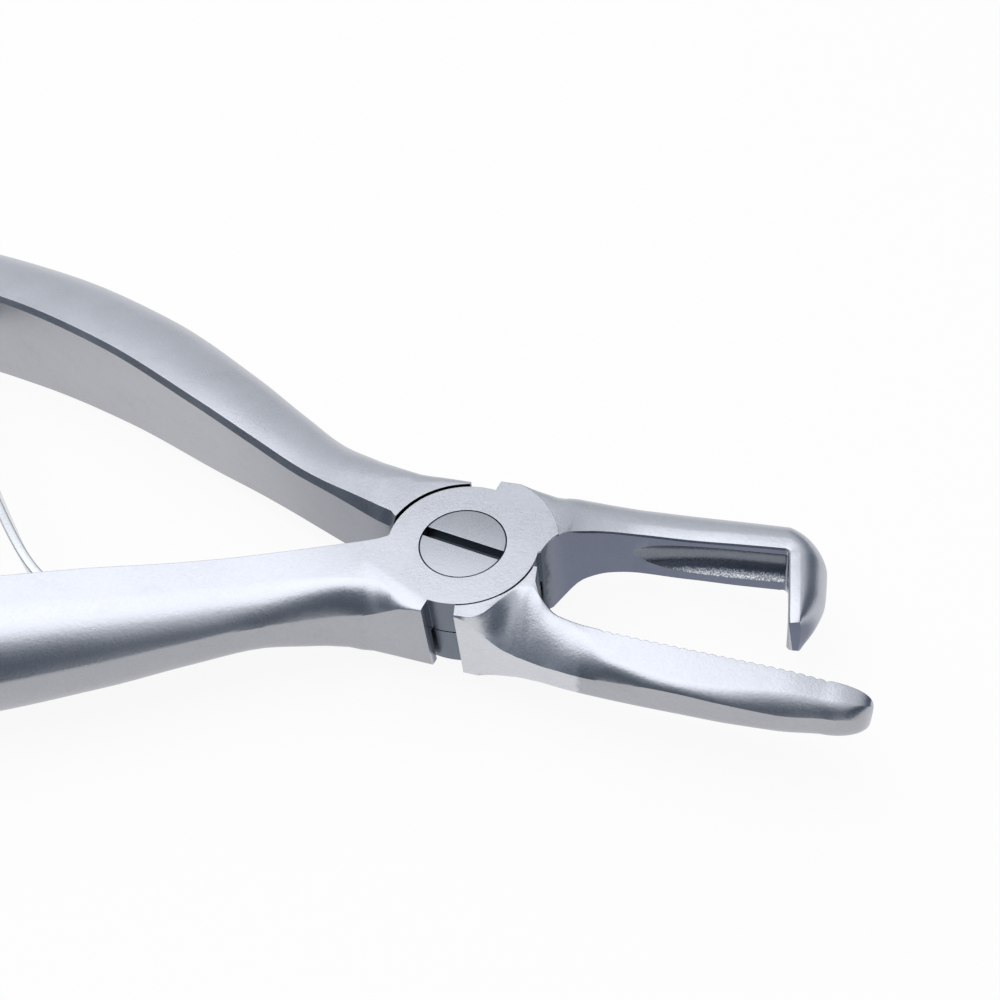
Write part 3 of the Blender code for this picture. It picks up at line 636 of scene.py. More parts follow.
def hook_jaw():
    corner = HOOK_INSIDE - HOOK_CORNER_RADIUS
    rows = hook_rows()
    rings = jaw_root(rows, corner, hook_halves)
    inner, thick, height, flat, land = rows[-1][1:6]
    centre = Vector((corner, inner - HOOK_CORNER_RADIUS))
    limb = metres(HOOK_LIMB_ROWS)
    limb_thick = limb[0][1]
    limb_lean = limb[0][3]
    for k in range(1, TURN_RINGS + 1):
        share = k / TURN_RINGS
        angle = math.pi / 2 - (math.pi / 2 - HOOK_LEAN) * share
        outward = Vector((math.cos(angle), math.sin(angle)))
        waist = thick + (limb_thick - thick) * share - HOOK_CORNER_TRIM * math.sin(math.pi * share)
        pairs = section(waist, height, flat, HOOK_LAND, JAW_CORNER_POWER, limb_lean * share,
                        above=limb_half(flat, share))
        rings.append(ring(centre + outward * HOOK_CORNER_RADIUS, outward, pairs))
    down = Vector((outward[1], -outward[0]))
    start = centre + outward * HOOK_CORNER_RADIUS
    for place in places(limb, limb[0][0], limb[-1][0], STEP_LENGTH):
        wide, tall, lean = between(limb, place)
        pairs = section(wide, tall, flat, HOOK_LAND, HOOK_LIMB_POWER, lean,
                        above=limb_half(flat, 1.0))
        rings.append(ring(start + down * place, outward, pairs))
    blank = loft("hook_blank", rings)
    sharpen(blank, start + down * limb[-1][0], down)
    boolean(blank, groove(rows, start - outward * GROOVE_END_GAP, outward), "DIFFERENCE")
    return blank, rows


def limb_half(flat, share):
    """The upper half of the hook's limb, with its ground land, at a share of the way round."""
    land, slope = HOOK_SIDE[-1][1:]
    width = land * MM + (HOOK_LAND - land * MM) * share
    power = JAW_CORNER_POWER + (HOOK_LIMB_POWER - JAW_CORNER_POWER) * share
    return flat, 0.0, width, math.radians(slope), INNER_EDGE, power


def sharpen(blank, end, down):
    """Grind a lip under the end of the hook."""
    bottom = min(vert.co.z for vert in blank.data.vertices
                 if (vert.co.xy - end).dot(down) > -SNAP)
    away = Vector((*down, 0.0)) * math.cos(HOOK_LIP_SLOPE)
    lip = away - Vector((0.0, 0.0, math.sin(HOOK_LIP_SLOPE)))
    trim(blank, Vector((*end, bottom + HOOK_LIP)), -lip)


def groove_depth(place):
    share = (place - GROOVE_START) / (GROOVE_FULL_AT - GROOVE_START)
    if share < 0:
        return GROOVE_RUN_IN * -share
    return GROOVE_DEPTH * math.sin(math.pi / 2 * min(share, 1.0))


def groove_axis(rows, place):
    inner = between(rows, min(place, rows[-1][0]))[0]
    return inner + groove_depth(place) - GROOVE_RADIUS


def in_groove():
    rows = hook_rows()

    def test(centre):
        if not GROOVE_START - PAST < centre.x < HOOK_INSIDE + PAST:
            return False
        aside = centre.y - groove_axis(rows, centre.x)
        up = centre.z - MIDDLE - GROOVE_RISE
        return abs(math.hypot(aside, up) - GROOVE_RADIUS) < GROOVE_NEAR

    return test


def mark(obj, test):
    """Give the second material to the faces whose centres pass a test."""
    for face in obj.data.polygons:
        face.material_index = 1 if test(face.center) else 0


def groove(rows, stop, limb_way):
    """Cutter of the round groove along the hook jaw, which stops at the limb."""
    rings = []
    first = GROOVE_START - 2 * PAST
    last = HOOK_INSIDE + 2 * PAST
    for k in range(GROOVE_STEPS + 1):
        place = first + (last - first) * k / GROOVE_STEPS
        axis = groove_axis(rows, place)
        rings.append([
            (place, axis + GROOVE_RADIUS * math.cos(turn),
             MIDDLE + GROOVE_RISE + GROOVE_RADIUS * math.sin(turn))
            for turn in (math.tau * j / GROOVE_SIDES for j in range(GROOVE_SIDES))
        ])
    cutter = loft("groove_cutter", rings)
    trim(cutter, Vector((*stop, 0.0)), Vector((-limb_way[0], -limb_way[1], 0.0)))
    return cutter


def serrated_jaw():
    body_end = SERRATED_REACH - SERRATED_TIP_ROUND
    rows = metres(SERRATED_ROWS + ((body_end / MM, *SERRATED_TIP_ROW),))
    rings = jaw_root(rows, body_end, serrated_halves)
    inner, thick, height, flat, land = rows[-1][1:6]
    for share, shrink in dome():
        aside = thick * SERRATED_TIP_LEAN * (1 - shrink)
        centre = (body_end + SERRATED_TIP_ROUND * share, inner + aside)
        place = body_end + SERRATED_TIP_ROUND * share
        tall = height * shrink ** SERRATED_TIP_FLATNESS
        pairs = section(thick * shrink, tall, flat * shrink, land * shrink,
                        JAW_CORNER_POWER, **serrated_halves(place, flat, inner, shrink))
        rings.append(ring(centre, (0.0, 1.0), pairs))
    blank = loft("serrated_blank", rings)
    boolean(blank, serrations(rows), "DIFFERENCE")
    return blank, rows


def serrations(rows):
    """Cutter of the row of teeth."""
    clear = 2 * TOOTH_DEPTH
    plan = []
    for k in range(2 * TOOTH_COUNT + 1):
        place = TOOTH_FIRST + TOOTH_PITCH * (k - 1) / 2
        plan.append((place, between(rows, place)[0] + (TOOTH_DEPTH if k % 2 else TOOTH_CREST_DROP)))
    low = min(y for x, y in plan) - clear
    plan = [(plan[0][0], low)] + plan + [(plan[-1][0], low)]
    bm = bmesh.new()
    bottom = [bm.verts.new((x, y, -PAST)) for x, y in plan]
    top = [bm.verts.new((x, y, JOINT_THICK + PAST)) for x, y in plan]
    bm.faces.new(list(reversed(bottom)))
    bm.faces.new(top)
    for i in range(len(plan)):
        j = (i + 1) % len(plan)
        bm.faces.new((bottom[i], bottom[j], top[j], top[i]))
    bmesh.ops.recalc_face_normals(bm, faces=bm.faces)
    return add_object("serration_cutter", bm)


def face_hub(rows, low):
    """Square up the joint's face around the root of a jaw, above a level."""
    rings = []
    inset = FACE_STEP / 2
    for place in places(rows, rows[0][0] + PAST / 2, FACE_RADIUS + PAST, STEP_LENGTH):
        inner, thick = between(rows, place)[:2]
        thick -= 2 * inset
        tall = JOINT_THICK + 2 * GRIND
        square = section(thick, tall, tall * HUB_FLAT, thick * HUB_LAND, HUB_CORNER_POWER)
        rings.append(ring((place, inner + inset), (0.0, 1.0), square))
    hub = loft("face_hub", rings)
    boolean(hub, cylinder("face_trim", FACE_RADIUS, low, JOINT_THICK + PAST), "INTERSECT")
    return hub


def half(jaw, root_rows, turn, hub_from):
    """One half as drawn: its plate on top, its pockets cut and its faces ground flat."""
    jaw_blank, rows = jaw()
    boolean(jaw_blank, face_hub(rows, hub_from), "UNION")
    blanks = (
        (jaw_blank, math.pi / 2 - NOTCH_HALF + turn, JAW_POCKET_GAP),
        (handle(handle_rows(root_rows)), -math.pi / 2 - NOTCH_HALF + turn, HANDLE_POCKET_GAP),
    )
    body = cylinder("plate", DISC_RADIUS, PARTING, JOINT_THICK + PAST)
    for blank, shoulder, gap in blanks:
        cut_off(blank, shoulder)
        boolean(blank, cylinder("pocket", DISC_RADIUS + gap, -PAST, PARTING + GRIND), "DIFFERENCE")
        boolean(body, blank, "UNION")
    for low, high in ((-PAST, 0.0), (JOINT_THICK, JOINT_THICK + 2 * PAST)):
        grind = cylinder("grind", FACE_RADIUS + FACE_RUNOUT + PAST, low, high)
        boolean(body, grind, "DIFFERENCE")
    return body


def bore(body):
    hole = cylinder("bore", SHANK_RADIUS + SCREW_GAP, -PAST, JOINT_THICK + PAST)
    boolean(body, hole, "DIFFERENCE")


def hook_half():
    body = half(hook_jaw, HOOK_HANDLE_ROOT, NOTCH_TURN, -PAST)
    bore(body)
    seat = JOINT_THICK - HEAD_THICK - SCREW_GAP
    counterbore = cylinder("counterbore", HEAD_RADIUS + SCREW_GAP, seat, JOINT_THICK + PAST)
    boolean(body, counterbore, "DIFFERENCE")
    # The groove's faces take the second material, darkened as painted shade
    mark(body, in_groove())
    return body


def serrated_half():
    body = half(serrated_jaw, SERRATED_HANDLE_ROOT, -NOTCH_TURN, MIDDLE)
    body.data.transform(Matrix.Rotation(math.pi, 4, "X"))
    body.data.transform(Matrix.Translation((0.0, 0.0, JOINT_THICK)))
    bore(body)
    seat, inward = spring_seat(SPRING_SCREW_AT)
    depth = SPRING_SHANK_DEPTH + SPRING_SCREW_GAP
    hole = cylinder("spring_hole", SPRING_SHANK_RADIUS + SPRING_SCREW_GAP, -depth, PAST,
                    SHANK_STEPS)
    hole.data.transform(stand(seat, inward))
    boolean(body, hole, "DIFFERENCE")
    return body


def spring_seat(back):
    """Point on the serrated handle's inner face and the way that it looks."""
    point, outward = handle_face(handle_rows(SERRATED_HANDLE_ROOT), back)
    return Vector((point[0], -point[1])), Vector((-outward[0], outward[1]))


def stand(point, direction):
    """Matrix that stands an upright piece on a point at middle height."""
    matrix = Vector((*direction, 0.0)).to_track_quat("Z", "Y").to_matrix().to_4x4()
    matrix.translation = Vector((*point, MIDDLE))
    return matrix


def turned(name, profile, steps):
    """Turn a profile of radii and heights about the upright axis."""
    bm = bmesh.new()
    points = [bm.verts.new((radius, 0.0, height)) for radius, height in profile]
    for near, far in zip(points, points[1:]):
        bm.edges.new((near, far))
    obj = add_object(name, bm)
    screw = obj.modifiers.new("turn", "SCREW")
    screw.steps = steps
    screw.render_steps = steps
    screw.use_merge_vertices = True
    screw.merge_threshold = WELD
    graph = bpy.context.evaluated_depsgraph_get()
    mesh = bpy.data.meshes.new_from_object(obj.evaluated_get(graph))
    obj.modifiers.clear()
    obj.data = mesh
    return obj


def rounded(corner, before, after, radius, steps=ROUNDING_STEPS):
    """Points that round one corner of a profile."""
    corner, before, after = Vector(corner), Vector(before), Vector(after)
    start = corner + (before - corner).normalized() * radius
    end = corner + (after - corner).normalized() * radius
    points = []
    for k in range(steps + 1):
        s = k / steps
        point = start * (1 - s) ** 2 + corner * 2 * s * (1 - s) + end * s**2
        points.append((point[0], point[1]))
    return points


def in_slot(top, width, depth, angle):
    """Test for the walls and the floor of a screw's slot."""
    def test(centre):
        aside = centre.y * math.cos(angle) - centre.x * math.sin(angle)
        below = top - centre.z
        return abs(aside) < width / 2 + SNAP and SLOT_WALL_FROM * depth < below < depth + SNAP

    return test


def slotted_screw(name, head, shank, levels, rims, slot, steps, head_steps=ROUNDING_STEPS):
    """levels are the top, the head's underside and the end, slot is its width, depth, angle."""
    top, under, bottom = levels
    width, depth, angle = slot
    profile = [(0.0, top)]
    profile += rounded((head, top), (0.0, top), (head, under), rims[0], head_steps)
    profile += [(head, under), (shank, under)]
    profile += rounded((shank, bottom), (shank, under), (0.0, bottom), rims[1])
    profile += [(0.0, bottom)]
    screw = turned(name, profile, steps)
    size = (3 * head, width, 2 * depth)
    boolean(screw, box("slot", size, (0.0, 0.0, top), angle), "DIFFERENCE")
    # The slot's faces take the second material, darkened as painted shade
    mark(screw, in_slot(top, width, depth, angle))
    return screw


def joint_screw():
    return slotted_screw(
        "pivot_screw", HEAD_RADIUS, SHANK_RADIUS, (JOINT_THICK, JOINT_THICK - HEAD_THICK, 0.0),
        (SCREW_RIM, SCREW_RIM), (SLOT_WIDTH, SLOT_DEPTH, SLOT_ANGLE), ROUND_STEPS)


def leaf_path():
    """Middle line of the leaf from past its screw to the end of its curled tip."""
    offset = LEAF_SEAT_GAP + LEAF_THICK / 2
    path = []
    for k in range(LEAF_ROOT_STEPS + 1):
        along = (LEAF_PAST_SCREW + LEAF_STRAIGHT) * k / LEAF_ROOT_STEPS
        back = SPRING_SCREW_AT + LEAF_PAST_SCREW - along
        point, inward = spring_seat(back)
        path.append(point + inward * offset)
    leave = (path[-1] - path[-2]).normalized()
    point, outward = handle_face(handle_rows(HOOK_HANDLE_ROOT), LEAF_BEARS_AT)
    bears = point - outward * offset
    arrive = Vector((-outward[1], outward[0]))
    span = (bears - path[-1]).length
    points = geometry.interpolate_bezier(
        path[-1], path[-1] + leave * span * LEAF_LEAVE, bears - arrive * span * LEAF_ARRIVE,
        bears, LEAF_BOW_STEPS
    )
    path += [Vector(point[:2]) for point in points[1:]]
    for k in range(1, LEAF_TIP_STEPS + 1):
        turn = Matrix.Rotation(LEAF_TIP_CURL * k / LEAF_TIP_STEPS, 2)
        path.append(path[-1] + turn @ arrive * (LEAF_TIP_LENGTH / LEAF_TIP_STEPS))
    return path


def leaf_spring():
    """Leaf with rounded long edges and rounded ends, and a hole for its screw."""
    path = leaf_path()
    half_thick = LEAF_THICK / 2
    rings = []
    lengths = [0.0]
    for near, far in zip(path, path[1:]):
        lengths.append(lengths[-1] + (far - near).length)
    total = lengths[-1]
    for k, point in enumerate(path):
        ahead = path[min(k + 1, len(path) - 1)]
        behind = path[max(k - 1, 0)]
        way = (ahead - behind).normalized()
        aside = Vector((-way[1], way[0]))
        reach = min(min(lengths[k], total - lengths[k]) / LEAF_END_ROUND, 1.0)
        widening = math.sqrt(1 - (1 - reach) ** 2)
        half_wide = LEAF_WIDTH / 2 * (LEAF_END_SHARE + (1 - LEAF_END_SHARE) * widening)
        profile = []
        for sx, sz in ((1, 1), (-1, 1), (-1, -1), (1, -1)):
            for step in range(EDGE_STEPS + 1):
                turn = math.pi / 2 * step / EDGE_STEPS
                a, b = math.cos(turn), math.sin(turn)
                if sx * sz < 0:
                    a, b = b, a
                profile.append((sx * (half_thick - LEAF_EDGE + LEAF_EDGE * a),
                                sz * (half_wide - LEAF_EDGE + LEAF_EDGE * b)))
        rings.append([(point[0] + aside[0] * u, point[1] + aside[1] * u, MIDDLE + v)
                      for u, v in profile])
    leaf = loft("spring_leaf", rings)
    seat, inward = spring_seat(SPRING_SCREW_AT)
    far_side = LEAF_SEAT_GAP + LEAF_THICK + PAST
    hole = cylinder("leaf_hole", SPRING_SHANK_RADIUS + SPRING_SCREW_GAP, -PAST, far_side,
                    SHANK_STEPS)
    hole.data.transform(stand(seat, inward))
    boolean(leaf, hole, "DIFFERENCE")
    return leaf


def spring_screw():
    under = LEAF_SEAT_GAP + LEAF_THICK + SPRING_SCREW_GAP
    screw = slotted_screw(
        "leaf_screw", SPRING_HEAD_RADIUS, SPRING_SHANK_RADIUS,
        (under + SPRING_HEAD_THICK, under, -SPRING_SHANK_DEPTH),
        (SPRING_HEAD_ROUND, SPRING_END_ROUND), (SPRING_SLOT_WIDTH, SPRING_SLOT_DEPTH, 0.0),
        SMALL_SCREW_STEPS, SPRING_HEAD_ROUND_STEPS)
    seat, inward = spring_seat(SPRING_SCREW_AT)
    screw.data.transform(stand(seat, inward))
    return screw


# Materials

FORGED = (0.475, 0.49, 0.54)
# Painted shade on the hook jaw's inner face, from 3 to 6 mm past the pivot onward
RECESS_SHADE = (0.165, 0.182, 0.245)
# Painted light on the serrated half's inner face up to 14 mm past the pivot; also the colour of the
# chatter marks in the groove
LIT_FACE_AND_CHATTER = (0.62, 0.63, 0.67)
# Painted shade on the walls inside the lap joint
JOINT_SHADE = (0.17, 0.19, 0.23)
# Painted shade on the inner faces of both handles, of the hook's root and of the serrated jaw past
# 14 mm
FLANK_SHADE = (0.415, 0.42, 0.45)
# Deeper painted shade on the serrated handle's inner face near the joint, fading in from 34 mm
# behind the pivot
DEEP_HANDLE_SHADE = (0.30, 0.31, 0.345)
# Painted shade on the serrated jaw's inner wall near the joint
SHADED = (0.12, 0.13, 0.17)
# Painted shade: a dark wedge on the hook jaw's inner wall beside the joint
WEDGE_SHADE = (0.06, 0.075, 0.10)
# Painted shade in the hook jaw's groove
GROOVE_SHADE = (0.18, 0.195, 0.23)
# Painted shade in the screws' slots
SLOT_SHADE = (0.13, 0.15, 0.18)
GROUND = (0.36, 0.375, 0.415)
BRIGHT = (0.66, 0.68, 0.71)
BLASTED = {"roughness": 0.31, "grain": 0.3, "speckle": 0.045, "scratch": 0.12, "pits": 0.03}

# Ways that faces look, for the painted light and shade tones
INWARD = (0.0, -1.0, 0.0)
ROOT_INWARD = (0.2, -0.98, 0.0)
JAW_INWARD = (0.3, -0.95, 0.0)
HANDLE_INWARD = (-0.3, -0.95, 0.0)
WEDGE_WAY = (0.9, -0.44, 0.0)
SCOOP_WAY = (0.75, 0.66, 0.0)

# Ranges that noise and masks are read in, and what they change
NOISE_RANGE = (0.3, 0.7)
LOOKS_RANGE = (0.45, 0.8)
WALL_RANGE = (0.2, 0.5)
# Distances from the pivot axis over which the painted shade on the joint's walls fades out
JOINT_WALL = (8.3 * MM, 8.75 * MM)
RAGGED = 0.5 * MM
CHATTER_BLUR = 0.12 * MM
SOFT_RADIUS = 0.08 * MM
SOFT_SAMPLES = 6
RUBBED_LIGHTER = 0.12
RUBBED_SMOOTHER = 0.08
ROUGH_CHANGE = 0.03
RISE = (0.0, 1.0)
FALL = (1.0, 0.0)
SHARP_ANGLE = math.radians(32)


class Graph:
    """Short ways to add the nodes that steels, floor and world share."""

    def __init__(self, tree):
        self.nodes = tree.nodes
        self.links = tree.links

    def spread(self, value, source, target, smooth=False):
        """Carry a value from one range over to another."""
        node = self.nodes.new("ShaderNodeMapRange")
        if smooth:
            node.interpolation_type = "SMOOTHSTEP"
        for name, number in zip(("From Min", "From Max", "To Min", "To Max"), (*source, *target)):
            node.inputs[name].default_value = number
        self.links.new(value, node.inputs["Value"])
        return node.outputs["Result"]

    def maths(self, operation, *values):
        node = self.nodes.new("ShaderNodeMath")
        node.operation = operation
        for socket, value in zip(node.inputs, values):
            if isinstance(value, float):
                socket.default_value = value
            else:
                self.links.new(value, socket)
        return node.outputs["Value"]

    def dot(self, first, second):
        node = self.nodes.new("ShaderNodeVectorMath")
        node.operation = "DOT_PRODUCT"
        self.links.new(first, node.inputs[0])
        if isinstance(second, tuple):
            node.inputs[1].default_value = second
        else:
            self.links.new(second, node.inputs[1])
        return node.outputs["Value"]


def steel(name, colour, roughness, grain, speckle, scratch, pits, light_and_shade_tones=(), joint=False,
          inner_shade_tones=(), worn=None):
    """Bare steel: blasted grain, cloudy tone, fine scratches, pits, rubbed edges, painted light and
    shade.

    Each painted tone is a way that a face looks, the places along X between which its painted light
    or shade sets in and where it ends, and that painted colour. joint paints shade on the walls
    inside the lap joint, and the inner shade tones lie over that. worn is the lower and upper
    height of a streak of chatter marks.
    """
    material = bpy.data.materials.new(name)
    material.use_nodes = True
    graph = Graph(material.node_tree)
    nodes, links = graph.nodes, graph.links
    shader = nodes["Principled BSDF"]
    shader.inputs["Metallic"].default_value = 1.0
    place = nodes.new("ShaderNodeTexCoord")

    def noise(scale, detail, stretch=None, rough=0.55):
        texture = nodes.new("ShaderNodeTexNoise")
        texture.inputs["Scale"].default_value = scale
        texture.inputs["Detail"].default_value = detail
        texture.inputs["Roughness"].default_value = rough
        source = place.outputs["Object"]
        if stretch:
            mapping = nodes.new("ShaderNodeMapping")
            mapping.inputs["Scale"].default_value = stretch
            links.new(source, mapping.inputs["Vector"])
            source = mapping.outputs["Vector"]
        links.new(source, texture.inputs["Vector"])
        return texture.outputs["Fac"]

    def times(value, source, target):
        return graph.maths("MULTIPLY", value, graph.spread(source[0], source[1], target))

    cloud = noise(scale=140.0, detail=4.0)
    stain = noise(scale=420.0, detail=5.0, rough=0.7)
    grains = noise(scale=5200.0, detail=2.0)
    coarse = noise(scale=2300.0, detail=3.0, rough=0.65)
    surface = nodes.new("ShaderNodeNewGeometry")
    soft = nodes.new("ShaderNodeBevel")
    soft.samples = SOFT_SAMPLES
    soft.inputs["Radius"].default_value = SOFT_RADIUS
    alike = graph.dot(soft.outputs["Normal"], surface.outputs["Normal"])
    rubbed = graph.spread(alike, (0.75, 0.98), FALL)

    shade = graph.spread(grains, NOISE_RANGE, (1.0 - speckle, 1.0 + speckle))
    shade = times(shade, (coarse, NOISE_RANGE), (1.0 - speckle / 2, 1.0 + speckle / 2))
    shade = times(shade, (cloud, (0.35, 0.65)), (0.96, 1.03))
    shade = times(shade, (stain, (0.55, 0.75)), (1.0, 0.93))
    if pits:
        shade = times(shade, (noise(scale=1300.0, detail=2.0), (0.76, 0.8)), (1.0, 1.0 - pits))
    shade = graph.maths("ADD", shade, graph.maths("MULTIPLY", rubbed, RUBBED_LIGHTER))
    split = nodes.new("ShaderNodeSeparateXYZ")
    links.new(place.outputs["Object"], split.inputs["Vector"])
    colour_and_painted_light = nodes.new("ShaderNodeRGB").outputs["Color"]
    colour_and_painted_light.default_value = (*colour, 1.0)

    def cover(mask, tone):
        """Lay a colour over the colour so far where a mask says so: painted light or shade, or the
        chatter streak.
        """
        nonlocal colour_and_painted_light
        mix = nodes.new("ShaderNodeMix")
        mix.data_type = "RGBA"
        links.new(mask, mix.inputs["Factor"])
        links.new(colour_and_painted_light, mix.inputs["A"])
        mix.inputs["B"].default_value = (*tone, 1.0)
        colour_and_painted_light = mix.outputs["Result"]

    def paint(way, enter, leave, tone):
        """Paint light or shade over the faces that look one way, between two places along X."""
        mask = graph.spread(graph.dot(place.outputs["Normal"], way), LOOKS_RANGE, RISE, smooth=True)
        shift = graph.spread(stain, (0.2, 0.8), (-RAGGED, RAGGED))
        ragged = graph.maths("ADD", split.outputs["X"], shift)
        for ends, change in ((enter, RISE), (leave, FALL)):
            if ends:
                along = graph.spread(ragged, ends, change, smooth=True)
                mask = graph.maths("MULTIPLY", mask, along)
        cover(mask, tone)

    # Painted light and shade on the faces that look one way, between places along X
    for entry in light_and_shade_tones:
        paint(*entry)
    if worn:
        bottom, top = worn
        chatter = noise(scale=1.0, detail=2.0, stretch=(6500.0, 6500.0, 2200.0), rough=0.7)
        streak = graph.spread(chatter, (0.42, 0.58), RISE)
        shift = graph.spread(coarse, NOISE_RANGE, (-CHATTER_BLUR, CHATTER_BLUR))
        ragged = graph.maths("ADD", split.outputs["Z"], shift)
        streak = times(streak, (ragged, (bottom - CHATTER_BLUR, bottom)), RISE)
        streak = times(streak, (ragged, (top, top + CHATTER_BLUR)), FALL)
        cover(streak, LIT_FACE_AND_CHATTER)
    # Painted shade on the upright walls inside the lap joint
    if joint:
        flat = nodes.new("ShaderNodeVectorMath")
        flat.operation = "MULTIPLY"
        links.new(place.outputs["Object"], flat.inputs[0])
        flat.inputs[1].default_value = (1.0, 1.0, 0.0)
        distance = nodes.new("ShaderNodeVectorMath")
        distance.operation = "LENGTH"
        links.new(flat.outputs["Vector"], distance.inputs[0])
        upright = graph.maths("ABSOLUTE", graph.dot(place.outputs["Normal"], (0.0, 0.0, 1.0)))
        wall = graph.spread(upright, WALL_RANGE, FALL)
        cover(times(wall, (distance.outputs["Value"], JOINT_WALL), FALL), JOINT_SHADE)
    # Painted shade that lies over the joint's painted shade
    for entry in inner_shade_tones:
        paint(*entry)
    tint = nodes.new("ShaderNodeVectorMath")
    tint.operation = "SCALE"
    links.new(colour_and_painted_light, tint.inputs[0])
    links.new(shade, tint.inputs["Scale"])
    links.new(tint.outputs["Vector"], shader.inputs["Base Color"])

    rough = graph.spread(cloud, NOISE_RANGE, (roughness - ROUGH_CHANGE, roughness + ROUGH_CHANGE))
    change = graph.spread(grains, NOISE_RANGE, (-ROUGH_CHANGE, ROUGH_CHANGE))
    rough = graph.maths("ADD", rough, change)
    rough = graph.maths("SUBTRACT", rough, graph.maths("MULTIPLY", rubbed, RUBBED_SMOOTHER))
    links.new(rough, shader.inputs["Roughness"])

    normal = soft.outputs["Normal"]
    scores = noise(scale=1.0, detail=3.0, stretch=(260.0, 7000.0, 3000.0), rough=0.6)
    lines = graph.spread(scores, (0.68, 0.74), RISE)
    for height, strength, depth in (
        (grains, grain, 0.03 * MM), (coarse, grain * 0.7, 0.06 * MM), (lines, scratch, 0.02 * MM)
    ):
        node = nodes.new("ShaderNodeBump")
        node.inputs["Strength"].default_value = strength
        node.inputs["Distance"].default_value = depth
        links.new(height, node.inputs["Height"])
        links.new(normal, node.inputs["Normal"])
        normal = node.outputs["Normal"]
    links.new(normal, shader.inputs["Normal"])
    return material


def dress(obj, finishes, body, node):
    for material in finishes:
        obj.data.materials.append(material)
    obj.data.shade_smooth()
    obj.data.set_sharp_from_angle(angle=SHARP_ANGLE)
    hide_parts(node)
    if body:
        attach(obj, body)


# The hook half's steel, with painted shade on its inner faces and inside the joint
hook_steel = steel(
    "hook_blasted_steel", FORGED, **BLASTED,
    light_and_shade_tones=((ROOT_INWARD, None, (2.0 * MM, 3.0 * MM), FLANK_SHADE),
           (JAW_INWARD, (3.0 * MM, 6.0 * MM), None, RECESS_SHADE)),
    joint=True,
    inner_shade_tones=((WEDGE_WAY, (5.5 * MM, 6.5 * MM), (7.9 * MM, 8.35 * MM), WEDGE_SHADE),))
# The serrated half's steel, with painted shade on its inner faces and inside the joint and painted
# light on its inner face near the joint
serrated_steel = steel(
    "serrated_blasted_steel", FORGED, **BLASTED,
    light_and_shade_tones=((SCOOP_WAY, (3.0 * MM, 6.0 * MM), (12.0 * MM, 14.0 * MM), SHADED),
           (INWARD, (13.7 * MM, 14.3 * MM), None, FLANK_SHADE),
           (HANDLE_INWARD, None, (-8.0 * MM, -7.0 * MM), FLANK_SHADE),
           (HANDLE_INWARD, (-34.0 * MM, -12.0 * MM), (-8.0 * MM, -7.0 * MM), DEEP_HANDLE_SHADE),
           (INWARD, (-3.0 * MM, -2.0 * MM), (13.7 * MM, 14.3 * MM), LIT_FACE_AND_CHATTER)),
    joint=True)
# The groove's steel is darkened as painted shade; the streak of chatter marks on it is the steel's
# own
groove_shade_steel = steel("groove_shade_steel", GROOVE_SHADE, roughness=0.26, grain=0.25, speckle=0.10,
                     scratch=0.3, pits=0.0, worn=(2.58 * MM, 2.9 * MM))
ground = steel("ground_steel", GROUND, roughness=0.3, grain=0.15, speckle=0.03, scratch=0.3,
               pits=0.04)
# The slots' steel is darkened as painted shade
slot_shade_steel = steel("slot_shade_steel", SLOT_SHADE, roughness=0.4, grain=0.25, speckle=0.05, scratch=0.3,
                   pits=0.0)
bright = steel("bright_steel", BRIGHT, roughness=0.26, grain=0.1, speckle=0.03, scratch=0.15,
               pits=0.0)

hook = hook_half()
hook.name = "hook_forging"
dress(hook, (hook_steel, groove_shade_steel), "hook_half", "hook_half")
serrated = serrated_half()
serrated.name = "serrated_forging"
dress(serrated, (serrated_steel,), "serrated_half", "serrated_half")
dress(joint_screw(), (ground, slot_shade_steel), "serrated_half", "joint_screw")
leaf = leaf_spring()
dress(leaf, (bright,), None, "leaf_spring")
way = leaf_path()
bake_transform(leaf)
dress(spring_screw(), (ground, slot_shade_steel), "serrated_half", "spring_screw")


# Camera, at the photograph's angle

FOCAL_LENGTH = 46.8
SENSOR_WIDTH = 36.0
CLIP_START = 0.001
CLIP_END = 10.0
PICTURE_RIGHT = (0.9534, 0.2894, -0.0848)
PICTURE_DOWN = (0.1588, -0.7207, -0.6748)
# The pivot at the joint's upper face, from the camera: to the right, down and ahead
PIVOT_SEEN_AT = (-3.63, 4.18, 126.51)

camera_data = bpy.data.cameras.new("camera")
camera_data.lens = FOCAL_LENGTH
camera_data.sensor_width = SENSOR_WIDTH
camera_data.clip_start = CLIP_START
camera_data.clip_end = CLIP_END
camera = bpy.data.objects.new("camera", camera_data)
bpy.context.scene.collection.objects.link(camera)
right = Vector(PICTURE_RIGHT).normalized()
ahead = right.cross(Vector(PICTURE_DOWN).normalized()).normalized()
down = ahead.cross(right).normalized()
aim = Vector(PIVOT_SEEN_AT) * MM
position = Vector((0.0, 0.0, JOINT_THICK)) - right * aim[0] - down * aim[1] - ahead * aim[2]
camera.matrix_world = Matrix((
    (right[0], -down[0], -ahead[0], position[0]),
    (right[1], -down[1], -ahead[1], position[1]),
    (right[2], -down[2], -ahead[2], position[2]),
    (0.0, 0.0, 0.0, 1.0),
))
bpy.context.scene.camera = camera
bpy.context.scene.view_settings.view_transform = "Standard"


# Floor and light

FLOOR_SIZE = 1.5
FLOOR_BELOW = 0.0001
FLOOR_GLOW = 0.91

